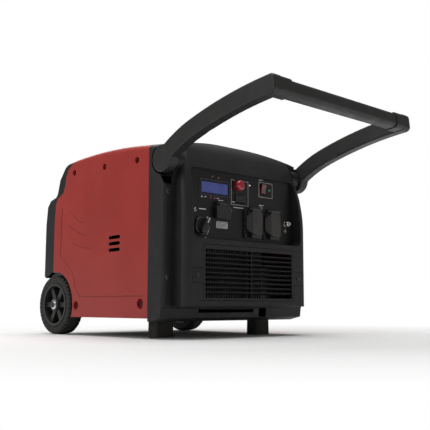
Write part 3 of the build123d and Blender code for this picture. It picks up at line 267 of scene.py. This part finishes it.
LID_FRONT = (-0.9, -0.98)            # Y of the normal where the painted sheen on the front starts and where it is full
# two warm greys of the painted sheen on the lids' front faces
LID_SHEEN_TONES = ((0.022, 0.0205, 0.019), (0.034, 0.031, 0.028))


def lid_finish():
    """Black socket lids whose front faces are painted a warm grey: a painted sheen for the light on them."""
    material = finish("lid_plastic", [(0.011, 0.011, 0.0115), (0.017, 0.017, 0.018)], (0.3, 0.42), FINE,
                      wear=(0.05, 0.05, 0.05))
    tree = material.node_tree
    shader = tree.nodes["Principled BSDF"]
    black = shader.inputs["Base Color"].links[0].from_socket
    place = add_node(tree, "ShaderNodeTexCoord")
    axes = add_node(tree, "ShaderNodeSeparateXYZ")
    socket_link(tree, place.outputs["Normal"], axes.inputs["Vector"])
    # faces that look to the front are painted lighter: a painted sheen, not a colour of the plastic
    front = remap(tree, axes.outputs["Y"], *LID_FRONT, 0, 1)
    painted_sheen = blend_colours(tree, drifting(tree, 0.02, 4.0), *LID_SHEEN_TONES)
    socket_link(tree, blend_colours(tree, front, black, painted_sheen), shader.inputs["Base Color"])
    return material


display = display_finish()
rope = rope_finish()
lid_plastic = lid_finish()

FINISHES = {
    black_housing: ["front_housing", "rear_housing", "base_tray", "intake_grille"],
    panel_black: ["control_panel"],
    grip_black: ["handle_arm_left", "handle_arm_right", "handle_grip", "handle_pivot_caps"],
    red_cover: ["left_side_cover", "right_side_cover", "top_cover", "maintenance_door"],
    rubber: ["front_feet", "engine_mounts"],
    tyre_rubber: ["left_tyre", "right_tyre"],
    wheel_plastic: ["left_wheel", "right_wheel", "recoil_reel"],
    dark_gloss: ["dc_cap", "dc_outlet", "door_latch", "eco_rocker", "engine_switch", "socket_inserts",
                 "fuel_cap", "fuel_vent_lever", "recoil_handle", "oil_dipstick", "air_cleaner", "battery",
                 "blower_housing"],
    lid_plastic: ["socket_lid_left", "socket_lid_right"],
    red_gloss: ["start_button"],
    red_dark: ["reset_rocker"],
    zinc: ["handle_tube", "handle_pivot_pins", "hinge_pins", "crankshaft", "stator", "spark_plug"],
    bright_steel: ["ground_nut", "ground_terminal"],
    black_zinc: ["axle_caps", "axle", "housing_screws", "inverter_module"],
    aluminium: ["carburettor", "cylinder_head", "engine_block", "valve_cover"],
    cast_iron: ["rotor_fan"],
    heat_paint: ["muffler"],
    tank_plastic: ["fuel_tank"],
    trim_print: ["panel_frames"],
    lens: ["indicator_lenses"],
    display: ["lcd_display"],
    rope: ["recoil_rope"],
}
for material, members in FINISHES.items():
    for node in members:
        if not nodes[node].material_slots:
            nodes[node].data.materials.append(material)
        for place in nodes[node].material_slots:
            place.material = material


# ---------------------------------------------------------------- mesh helpers
def piece(name, vertices, faces, material, body, sharp=35):
    """A mesh piece in the row frame that rides on a body."""
    mesh = bpy.data.meshes.new(name)
    mesh.from_pydata([tuple(v) for v in vertices], [], faces)
    mesh.validate()
    fix = bmesh.new()
    fix.from_mesh(mesh)
    bmesh.ops.recalc_face_normals(fix, faces=fix.faces)
    fix.to_mesh(mesh)
    fix.free()
    mesh.materials.append(material)
    for face in mesh.polygons:
        face.use_smooth = True
    mesh.set_sharp_from_angle(angle=math.radians(sharp))
    made = bpy.data.objects.new(name, mesh)
    bpy.context.scene.collection.objects.link(made)
    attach(made, body)
    return made


class Shape:
    """Collects the vertices and faces of one piece."""

    def __init__(self):
        self.vertices = []
        self.faces = []

    def add(self, vertices, faces):
        """Adds a block of vertices, with faces that count from its own first vertex."""
        base = len(self.vertices)
        self.vertices += [Vector(v) for v in vertices]
        self.faces += [[base + i for i in face] for face in faces]

    def grid(self, rows, closed_rows=True, closed_columns=False, caps=False):
        """Joins rows of points, as in a turned profile."""
        count, wide = len(rows), len(rows[0])
        faces = []
        for i in range(count if closed_rows else count - 1):
            for j in range(wide if closed_columns else wide - 1):
                a, b = (i + 1) % count, (j + 1) % wide
                faces.append([i * wide + j, a * wide + j, a * wide + b, i * wide + b])
        if caps:
            faces.append([i * wide for i in range(count)])
            faces.append([i * wide + wide - 1 for i in reversed(range(count))])
        self.add([p for row in rows for p in row], faces)

    def prism(self, outline, low, high, place):
        """An outline of (a, b) points pushed from low to high; place turns (a, b, c) into a point."""
        wide = len(outline)
        points = [place(a, b, low) for a, b in outline] + [place(a, b, high) for a, b in outline]
        sides = [[i, (i + 1) % wide, (i + 1) % wide + wide, i + wide] for i in range(wide)]
        self.add(points, [list(reversed(range(wide))), list(range(wide, 2 * wide)), *sides])

    def piece(self, name, material, body, sharp=35):
        """Makes the collected shape into a piece."""
        return piece(name, self.vertices, self.faces, material, body, sharp)


def on_front(y):
    """Places (x, z, out) points on a plane that faces the user, out towards the user."""
    return lambda x, z, out: Vector((x, y - out, z))


def circle(x, z, radius, steps=40, start=0.0, turn=360.0):
    """Points round a circle or an arc, in degrees anticlockwise from +x."""
    closed = abs(turn) >= 360
    count = steps if closed else steps + 1
    return [(x + radius * math.cos(math.radians(start + turn * i / steps)),
             z + radius * math.sin(math.radians(start + turn * i / steps))) for i in range(count)]


def rounded_box(x, z, wide, high, corner, steps=6):
    """Outline of a rounded rectangle."""
    points = []
    for turn, (sx, sz) in enumerate(((1, 1), (-1, 1), (-1, -1), (1, -1))):
        points += circle(x + sx * (wide / 2 - corner), z + sz * (high / 2 - corner), corner, steps,
                         90 * turn, 90)
    return points


def arc_band(x, z, radius, width_start, width_end, start, turn, steps=28):
    """A curved band that grows from one width to another."""
    outer, inner = [], []
    for i in range(steps + 1):
        share = i / steps
        angle = math.radians(start + turn * share)
        half = (width_start + (width_end - width_start) * share) / 2
        outer.append((x + (radius + half) * math.cos(angle), z + (radius + half) * math.sin(angle)))
        inner.append((x + (radius - half) * math.cos(angle), z + (radius - half) * math.sin(angle)))
    return outer + list(reversed(inner))


def full_turn(steps):
    """The angles of one turn in equal steps, in radians."""
    return [math.tau * i / steps for i in range(steps)]


def islands(node):
    """The box of each separate solid of a CAD node, as (lowest corner, highest corner)."""
    mesh = nodes[node].data
    place = [tuple(round(c, 5) for c in v.co) for v in mesh.vertices]
    parent = {p: p for p in place}

    def root(p):
        while parent[p] != p:
            parent[p] = parent[parent[p]]
            p = parent[p]
        return p

    for face in mesh.polygons:
        first = root(place[face.vertices[0]])
        for i in face.vertices[1:]:
            parent[root(place[i])] = first
            first = root(first)
    groups = {}
    for p in parent:
        groups.setdefault(root(p), []).append(p)
    boxes = [(Vector(min(c) for c in zip(*g)), Vector(max(c) for c in zip(*g))) for g in groups.values()]
    return sorted(boxes, key=lambda b: tuple(b[0]))


# ---------------------------------------------------------------- screws
# share of the head's radius, share of its height
HEAD_DOME = [(1.0, 0.0), (1.0, 0.45), (0.96, 0.62), (0.86, 0.78), (0.68, 0.9), (0.45, 0.97), (0.2, 1.0)]
HEAD_HEIGHT = 3.6 * MM
HEAD_STEPS = 36
HEAD_TURN = 90     # radians for each metre of height, so that the cross recesses don't all line up
CROSS_LONG, CROSS_WIDE, CROSS_DEEP = 0.58, 0.17, 0.62     # shares of the head's radius and height


def screw_head(radius, height):
    """Vertices and faces of a round head with a cross recess, standing on z = 0."""
    dome = Shape()
    dome.grid([[Vector((radius * r * math.cos(a), radius * r * math.sin(a), height * z))
                for r, z in HEAD_DOME] for a in full_turn(HEAD_STEPS)], caps=True)
    cutter = Shape()
    for long, wide in ((CROSS_LONG, CROSS_WIDE), (CROSS_WIDE, CROSS_LONG)):
        cutter.prism([(long * radius, wide * radius), (-long * radius, wide * radius),
                      (-long * radius, -wide * radius), (long * radius, -wide * radius)],
                     height * (1 - CROSS_DEEP), height * 1.5, lambda a, b, c: Vector((a, b, c)))
    tools = []
    made = dome.piece("head", black_zinc, "machine")
    for part in (cutter.vertices[:8], cutter.vertices[8:]):
        block = Shape()
        block.add(part, cutter.faces[:6])
        tools.append(block.piece("cross", black_zinc, "machine"))
        cut = made.modifiers.new("cut", "BOOLEAN")
        cut.object, cut.operation, cut.solver = tools[-1], "DIFFERENCE", "EXACT"
    result = bpy.data.meshes.new_from_object(made.evaluated_get(bpy.context.evaluated_depsgraph_get()))
    for old in (made, *tools):
        bpy.data.objects.remove(old)
    return [v.co.copy() for v in result.vertices], [list(f.vertices) for f in result.polygons]


screws = Shape()
heads = {}
for low, high in islands("housing_screws"):
    size, middle = high - low, (low + high) / 2
    along_x = size.x > size.y
    radius = size.z / 2
    if round(radius, 4) not in heads:
        heads[round(radius, 4)] = screw_head(radius, HEAD_HEIGHT)
    points, faces = heads[round(radius, 4)]
    out = Vector((math.copysign(1, middle.x), 0, 0)) if along_x else Vector((0, -1, 0))
    top = middle + Vector((out.x * size.x / 2, out.y * size.y / 2, 0))
    turn = out.to_track_quat("Z", "Y").to_matrix() @ Matrix.Rotation(middle.z * HEAD_TURN, 3, "Z")
    screws.add([top - out * HEAD_HEIGHT + turn @ p for p in points], faces)
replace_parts(screws.piece("screw_heads", black_zinc, "machine", 30), "housing_screws")

# ---------------------------------------------------------------- tyres
TREAD_BLOCKS = 40
GROOVE = 2.4 * MM
BEAD_RADIUS = 55 * MM
# share of the half width, share of the way from bead to tread
TYRE_PROFILE = [(0.80, 0.0), (0.88, 0.05), (0.93, 0.22), (0.955, 0.26), (0.955, 0.32), (0.975, 0.36),
                (1.0, 0.55), (0.985, 0.74), (0.94, 0.87), (0.86, 0.95), (0.74, 0.985), (0.56, 0.996),
                (0.36, 1.0), (0.34, 0.90), (0.26, 0.90), (0.24, 1.0), (0.0, 1.0)]
BLOCK_STEPS = (0.0, 0.12, 0.18, 0.44, 0.50, 0.62, 0.68, 0.94)     # shares of one tread block
STAGGER = 0.5          # share of a block by which one side runs ahead of the other
BLOCK_SHARE = 0.65     # share of a block's length where the groove behind it starts
SHOULDER, TREAD = 0.4, 0.8     # the groove is cut beyond these shares of half width and of bead to tread


def tyre(node, body):
    """A tyre with staggered shoulder blocks and two running grooves."""
    low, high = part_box(node)
    middle, radius, half = (low + high) / 2, (high.z - low.z) / 2, (high.x - low.x) / 2
    section = [(-x, r) for x, r in TYRE_PROFILE] + [(x, r) for x, r in reversed(TYRE_PROFILE[:-1])]
    rows = []
    for block in range(TREAD_BLOCKS):
        for step in BLOCK_STEPS:
            angle = math.tau * (block + step) / TREAD_BLOCKS
            row = []
            for x, share in section:
                phase = (step + (STAGGER if x > 0 else 0)) % 1
                r = BEAD_RADIUS + (radius - BEAD_RADIUS) * share
                if phase > BLOCK_SHARE and abs(x) > SHOULDER and share > TREAD:
                    r -= GROOVE
                row.append(Vector((middle.x + x * half, middle.y + r * math.cos(angle),
                                   middle.z + r * math.sin(angle))))
            rows.append(row)
    shape = Shape()
    shape.grid(rows, closed_columns=True)
    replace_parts(shape.piece(f"{body}_tread", tyre_rubber, body, 32), node)


tyre("left_tyre", "left_road_wheel")
tyre("right_tyre", "right_road_wheel")

# ---------------------------------------------------------------- push nuts on the axle
# share of the cap's radius, share of its thickness
NUT_PROFILE = [(1.0, 0.0), (1.0, 0.12), (0.97, 0.2), (0.76, 0.24), (0.70, 0.32), (0.66, 0.62), (0.56, 0.84),
               (0.4, 0.95), (0.2, 0.99), (0.03, 1.0)]
NUT_STEPS = 48
push_nuts = Shape()
for low, high in islands("axle_caps"):
    middle, radius, thick = (low + high) / 2, (high.z - low.z) / 2, high.x - low.x
    out = math.copysign(1, middle.x)
    inner_x = low.x if out > 0 else high.x
    push_nuts.grid([[Vector((inner_x + out * thick * t, middle.y + radius * r * math.cos(a),
                             middle.z + radius * r * math.sin(a))) for r, t in NUT_PROFILE]
                    for a in full_turn(NUT_STEPS)], caps=True)
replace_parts(push_nuts.piece("push_nuts", chrome, "machine", 30), "axle_caps")

# ---------------------------------------------------------------- spark screen in the exhaust
SCREEN_RADIUS, WIRE, WIRES = 14 * MM, 0.45 * MM, 9
SCREEN_DEPTH = 5 * MM     # how far inside the pipe it sits
MOUTH_BAND = 0.2 * MM     # the pipe's last points lie within this of its end
WIRE_STEPS, WIRE_SIDES = 12, 6
pipe_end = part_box("muffler")[1].y
mouth = [v.co for v in nodes["muffler"].data.vertices if v.co.y > pipe_end - MOUTH_BAND]
mouth_middle = Vector([(min(c) + max(c)) / 2 for c in zip(*mouth)])


def wire(shape, start, end, radius, bow):
    """A thin wire that waves a little along Y."""
    along = (end - start).normalized()
    side = along.cross(Vector((0, 1, 0)))
    rows = []
    for i in range(WIRE_STEPS + 1):
        share = i / WIRE_STEPS
        centre = start.lerp(end, share) + Vector((0, bow * math.sin(share * math.pi * WIRES), 0))
        rows.append([centre + radius * (side * math.cos(a) + Vector((0, 1, 0)) * math.sin(a))
                     for a in full_turn(WIRE_SIDES)])
    shape.grid(rows, closed_rows=False, closed_columns=True)


screen = Shape()
for row in range(WIRES):
    offset = SCREEN_RADIUS * (2 * (row + 1) / (WIRES + 1) - 1)
    half_chord = math.sqrt(SCREEN_RADIUS ** 2 - offset ** 2)
    bow = WIRE * (1 if row % 2 else -1)
    level = ((-half_chord, offset), (half_chord, offset))
    upright = ((offset, -half_chord), (offset, half_chord))
    for a, b in (level, upright):
        start = mouth_middle + Vector((a[0], -SCREEN_DEPTH, a[1]))
        end = mouth_middle + Vector((b[0], -SCREEN_DEPTH, b[1]))
        wire(screen, start, end, WIRE, bow)
screen.piece("spark_screen", zinc, "machine", 60)

# ---------------------------------------------------------------- earth clips in the sockets
panel_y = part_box("control_panel")[0].y
CLIP_HALF = 3.2 * MM
CLIP_THICK = 0.6 * MM
CLIP_BOW = 2.2 * MM
CLIP_START, CLIP_LONG = 1 * MM, 12 * MM     # behind the panel's face
CLIP_SHOWN = 0.3 * MM        # how far the clip's ends stand out of the wall of the well
CLIP_STEPS = 8
WELL_RADIUS = 19.5 * MM
socket_z = centre_of("socket_inserts").z
clips = Shape()
for low, high in islands("socket_inserts"):
    x = (low.x + high.x) / 2
    for side in (-1, 1):
        rows = []
        for step in range(CLIP_STEPS + 1):
            share = step / CLIP_STEPS
            depth = panel_y + CLIP_START + CLIP_LONG * share
            inner = socket_z + side * (WELL_RADIUS - CLIP_SHOWN - CLIP_BOW * math.sin(math.pi * share))
            outer = inner + side * CLIP_THICK
            rows.append([Vector((x - CLIP_HALF, depth, inner)), Vector((x + CLIP_HALF, depth, inner)),
                         Vector((x + CLIP_HALF, depth, outer)), Vector((x - CLIP_HALF, depth, outer))])
        clips.grid(rows, closed_rows=False, closed_columns=True)
clips.piece("earth_clips", bright_steel, "machine", 50)

# ---------------------------------------------------------------- printing on the control panel
dial = centre_of("engine_switch")
dc = centre_of("dc_outlet")
ground = centre_of("ground_terminal")
lids = [centre_of("socket_lid_left"), centre_of("socket_lid_right")]
INK_SINK, INK_LIFT = -0.00002, 0.00012     # printing starts just inside the panel and stands just proud of it

prints = Shape()


def printed(outline):
    """One printed mark."""
    prints.prism(outline, INK_SINK, INK_LIFT, on_front(panel_y))


def printed_bar(x, z, wide, high):
    """A small bar with rounded ends."""
    printed(rounded_box(x, z, wide, high, min(wide, high) * 0.45, 3))


# choke scale round the dial, with a mark at each end
dial_low, dial_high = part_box("engine_switch")
DIAL = (dial_high.x - dial_low.x) / 2
SCALE_RADIUS, SCALE_THIN, SCALE_THICK = DIAL + 4 * MM, 0.6 * MM, 2.4 * MM
SCALE_START, SCALE_TURN = -50, 85
MARK_RADIUS, MARK_ANGLES = DIAL + 8 * MM, (-60, 46)
MARK_SIZE = (5.0 * MM, 1.6 * MM)
printed(arc_band(dial.x, dial.z, SCALE_RADIUS, SCALE_THIN, SCALE_THICK, SCALE_START, SCALE_TURN))
for angle in map(math.radians, MARK_ANGLES):
    printed_bar(dial.x + MARK_RADIUS * math.cos(angle), dial.z + MARK_RADIUS * math.sin(angle), *MARK_SIZE)
# fuel tap sign and the sign of the on position
tap_x, tap_z = dial.x - 17 * MM, dial.z + 37 * MM
printed(arc_band(tap_x, tap_z, 3.8 * MM, 1.0 * MM, 1.0 * MM, 60, 300))
printed_bar(tap_x, tap_z + 3 * MM, 1.1 * MM, 5.5 * MM)
printed_bar(dial.x + 5 * MM, tap_z + 3 * MM, 22 * MM, 1.8 * MM)
# direct current sign: a line over dashes
STROKE = 0.9 * MM
dc_sign_x, DASH_PITCH = dc.x + 33 * MM, 3 * MM
printed_bar(dc_sign_x, dc.z + 3 * MM, 8 * MM, STROKE)
for step in (-1, 0, 1):
    printed_bar(dc_sign_x + step * DASH_PITCH, dc.z + 0.8 * MM, 2 * MM, STROKE)
printed_bar(dc.x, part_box("dc_outlet")[1].z + 4.5 * MM, 16 * MM, 1.6 * MM)
# alternating current sign between the sockets
middle = (lids[0] + lids[1]) / 2
lid_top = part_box("socket_lid_left")[1].z
WAVE_RADIUS, WAVE_STEPS = 2.4 * MM, 14
for side, start in ((-1, 0), (1, 180)):
    printed(arc_band(middle.x + side * WAVE_RADIUS, lid_top + 5 * MM, WAVE_RADIUS, STROKE, STROKE, start, 180,
                     WAVE_STEPS))
printed_bar(middle.x, lid_top + 10 * MM, 17 * MM, 1.4 * MM)
# protective earth sign under the terminal
EARTH_WIDTHS, EARTH_PITCH = (9 * MM, 6 * MM, 3 * MM), 2.2 * MM
printed_bar(ground.x, ground.z - 14.5 * MM, STROKE, 6 * MM)
for step, wide in enumerate(EARTH_WIDTHS):
    printed_bar(ground.x, ground.z - 17.5 * MM - EARTH_PITCH * step, wide, STROKE)
# short captions of the lamps and buttons, as plain bars: a control, the place of the bar from the control's
# middle, across and up, and the bar's length, in millimetres
CAPTIONS = (("lcd_display", -30, -23.5, 8), ("lcd_display", 10, -23.5, 8), ("eco_rocker", -22, -9, 10),
            ("reset_rocker", -7.5, 22, 15), ("eco_rocker", -0.5, -22, 41))
for control, across, up, length in CAPTIONS:
    place = centre_of(control)
    printed_bar(place.x + across * MM, place.z + up * MM, length * MM, 1.3 * MM)
prints.piece("panel_prints", ink, "machine", 60)


def frame_ring(name, outer, inner, low, high, material):
    """A flat ring between two outlines with as many points."""
    place = on_front(panel_y)
    shape = Shape()
    shape.grid([[place(*a, low), place(*a, high), place(*b, high), place(*b, low)]
                for a, b in zip(outer, inner)], closed_columns=True)
    shape.piece(name, material, "machine", 30)


# narrow dark frame on the panel round the display, which stands off the window by the width of the flange
# hidden behind the panel
display_low, display_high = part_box("lcd_display")
display_middle, display_size = (display_low + display_high) / 2, display_high - display_low
BEZEL = 1.2 * MM
BEZEL_OUT = (-0.1 * MM, 1.2 * MM)
bezel_size = display_size + Vector((2 * BEZEL, 0, 2 * BEZEL))
frame_ring("display_bezel",
           rounded_box(display_middle.x, display_middle.z, bezel_size.x, bezel_size.z, 3 * MM),
           rounded_box(display_middle.x, display_middle.z, display_size.x, display_size.z, 1.5 * MM),
           *BEZEL_OUT, bezel_grey)
# black collar round the start button
button = centre_of("start_button")
COLLAR_OUTER, COLLAR_INNER = 15.9 * MM, 13.25 * MM
COLLAR_OUT = (0.1 * MM, 3.4 * MM)
frame_ring("button_collar", circle(button.x, button.z, COLLAR_OUTER),
           circle(button.x, button.z, COLLAR_INNER), *COLLAR_OUT, dark_gloss)

# lenses of the lamps: two above the display, three below it, one beside the start button and one beside the
# reset rocker
# share of the lens's radius, share of its height
LENS_PROFILE = [(1.0, 0.0), (1.0, 0.35), (0.94, 0.6), (0.8, 0.8), (0.55, 0.94), (0.25, 0.99), (0.02, 1.0)]
LENS_STEPS = 28
# below the display a lamp left of this place is white, and one right of it is red
WHITE_UP_TO = display_middle.x - 25 * MM


def lamp_piece(x, z):
    """The piece that the lamp at this place on the panel belongs to."""
    if z < display_low.z:
        return "lamps_white" if x < WHITE_UP_TO else "lamps_red"
    if x < button.x:
        return "lamps_amber"
    return "lamps_white" if x < lids[0].x else "lamps_green"


lens_shapes = {}
for low, high in islands("indicator_lenses"):
    middle, radius = (low + high) / 2, (high.x - low.x) / 2
    shape = lens_shapes.setdefault(lamp_piece(middle.x, middle.z), Shape())
    shape.grid([[Vector((middle.x + radius * r * math.cos(a), high.y + (low.y - high.y) * t,
                         middle.z + radius * r * math.sin(a))) for r, t in LENS_PROFILE]
                for a in full_turn(LENS_STEPS)], caps=True)
for name, material in (("lamps_amber", lamp_amber), ("lamps_white", lens), ("lamps_red", lamp_red),
                       ("lamps_green", lamp_green)):
    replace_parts(lens_shapes[name].piece(name, material, "machine", 40), "indicator_lenses")

# rating plate: a light film with dark rules
FILM_WIDE, FILM_HIGH, FILM_LIFT = 37 * MM, 16 * MM, 0.3 * MM
RULE_PITCH, RULE_HIGH, RULE_HALF = 3.4 * MM, 1.0 * MM, 0.1 * MM
film_x, film_z = dc.x + 4.5 * MM, dc.z - 35 * MM
rules_left, rules_top = film_x - 16.5 * MM, film_z + 5.2 * MM
RULE_LENGTHS = (33 * MM, 27 * MM, 31 * MM, 20 * MM)
film = Shape()
film.prism(rounded_box(film_x, film_z, FILM_WIDE, FILM_HIGH, 1.5 * MM), INK_SINK, FILM_LIFT,
           on_front(panel_y))
film.piece("rating_film", label_film, "machine", 60)
rules = Shape()
for row, length in enumerate(RULE_LENGTHS):
    outline = rounded_box(rules_left + length / 2, rules_top - RULE_PITCH * row, length, RULE_HIGH,
                          0.3 * MM, 2)
    rules.prism(outline, FILM_LIFT - RULE_HALF, FILM_LIFT + RULE_HALF, on_front(panel_y))
rules.piece("rating_film_rules", panel_black, "machine", 60)

# pointer line and dot on the engine switch
POINTER_TILT = math.radians(60)
POINTER_OUT = (-0.1 * MM, 0.3 * MM)
pointer_line = rounded_box(DIAL * 0.55, 0, DIAL * 0.45, 1.8 * MM, 0.8 * MM, 4)
pointer_dot = circle(DIAL * 0.84, 0, 1.6 * MM, 16)
pointer = Shape()
for outline in (pointer_line, pointer_dot):
    pointer.prism([(dial.x + math.cos(POINTER_TILT) * a - math.sin(POINTER_TILT) * b,
                    dial.z + math.sin(POINTER_TILT) * a + math.cos(POINTER_TILT) * b) for a, b in outline],
                  *POINTER_OUT, on_front(dial_low.y))
pointer.piece("switch_pointer", ink, "engine_dial", 60)

# ---------------------------------------------------------------- camera, light and floor
CAMERA_PLACE = (-1.27597, -1.35628, 0.07482)
CAMERA_YAW, CAMERA_PITCH, CAMERA_ROLL = (math.radians(a) for a in (43.41, 6.96, 0.10))
CAMERA_LENS, CAMERA_CLIP = 61.96, (0.05, 60)

ahead = Vector((math.sin(CAMERA_YAW) * math.cos(CAMERA_PITCH), math.cos(CAMERA_YAW) * math.cos(CAMERA_PITCH),
                math.sin(CAMERA_PITCH)))
right = Vector((math.cos(CAMERA_YAW), -math.sin(CAMERA_YAW), 0))
above = right.cross(ahead)
right, above = (right * math.cos(CAMERA_ROLL) + above * math.sin(CAMERA_ROLL),
                above * math.cos(CAMERA_ROLL) - right * math.sin(CAMERA_ROLL))
camera = bpy.data.objects.new("camera", bpy.data.cameras.new("camera"))
bpy.context.scene.collection.objects.link(camera)
camera.matrix_world = Matrix.Translation(CAMERA_PLACE) @ Matrix((right, above, -ahead)).transposed().to_4x4()
camera.data.lens = CAMERA_LENS
camera.data.clip_start, camera.data.clip_end = CAMERA_CLIP
bpy.context.scene.camera = camera

TARGET = (0, 0, 0.25)


def soft_light(name, place, size, power):
    """A large soft box aimed at the middle of the machine."""
    light = bpy.data.lights.new(name, "AREA")
    light.shape = "RECTANGLE"
    light.size, light.size_y = size
    light.energy = power
    holder = bpy.data.objects.new(name, light)
    bpy.context.scene.collection.objects.link(holder)
    holder.location = place
    holder.rotation_euler = (Vector(TARGET) - Vector(place)).to_track_quat("-Z", "Y").to_euler()


AMBIENT = 0.28
soft_light("overhead", (-0.2, 0.3, 2.6), (2.4, 2.4), 70)
soft_light("left_box", (-2.8, 0.3, 1.5), (1.6, 1.6), 16)
soft_light("back_box", (1.2, 2.6, 1.6), (1.8, 1.4), 14)

world = bpy.data.worlds.new("studio")
bpy.context.scene.world = world
world.use_nodes = True
sky = world.node_tree
seen = sky.nodes["Background"]
seen.inputs["Color"].default_value = (1, 1, 1, 1)
seen.inputs["Strength"].default_value = 1.0
ambient = add_node(sky, "ShaderNodeBackground", Color=(1.0, 0.99, 0.97, 1), Strength=AMBIENT)
direct = add_node(sky, "ShaderNodeLightPath")
either = add_node(sky, "ShaderNodeMixShader")
socket_link(sky, direct.outputs["Is Camera Ray"], either.inputs["Fac"])
socket_link(sky, ambient.outputs["Background"], either.inputs[1])
socket_link(sky, seen.outputs["Background"], either.inputs[2])
socket_link(sky, either.outputs["Shader"], sky.nodes["World Output"].inputs["Surface"])

floor = bpy.data.objects.new("floor", bpy.data.meshes.new("floor"))
FLOOR_HALF, FLOOR_Z = 14.0, -0.0005
SWEEP = (0.6, 1.15)        # metres from the origin where the floor starts to turn white and is all white
floor_corners = [(x * FLOOR_HALF, y * FLOOR_HALF, FLOOR_Z) for x, y in ((-1, -1), (1, -1), (1, 1), (-1, 1))]
floor.data.from_pydata(floor_corners, [], [(0, 1, 2, 3)])
bpy.context.scene.collection.objects.link(floor)
floor_paint = finish("floor", [(0.78, 0.78, 0.78), (0.82, 0.82, 0.82)], (0.75, 0.9), (0.004, 0.00005, False),
                     cloud=0.5)
floor.data.materials.append(floor_paint)
# the floor brightens into the backdrop, as on a studio sweep
studio = floor_paint.node_tree
where = add_node(studio, "ShaderNodeTexCoord")
far = add_node(studio, "ShaderNodeVectorMath", operation="LENGTH")
socket_link(studio, where.outputs["Object"], far.inputs[0])
glow = add_node(studio, "ShaderNodeEmission", Color=(1, 1, 1, 1), Strength=1.0)
sweep = add_node(studio, "ShaderNodeMixShader")
socket_link(studio, remap(studio, far.outputs["Value"], *SWEEP, 0, 1), sweep.inputs["Fac"])
socket_link(studio, studio.nodes["Principled BSDF"].outputs["BSDF"], sweep.inputs[1])
socket_link(studio, glow.outputs["Emission"], sweep.inputs[2])
socket_link(studio, sweep.outputs["Shader"], studio.nodes["Material Output"].inputs["Surface"])

bpy.context.scene.view_settings.view_transform = "Standard"
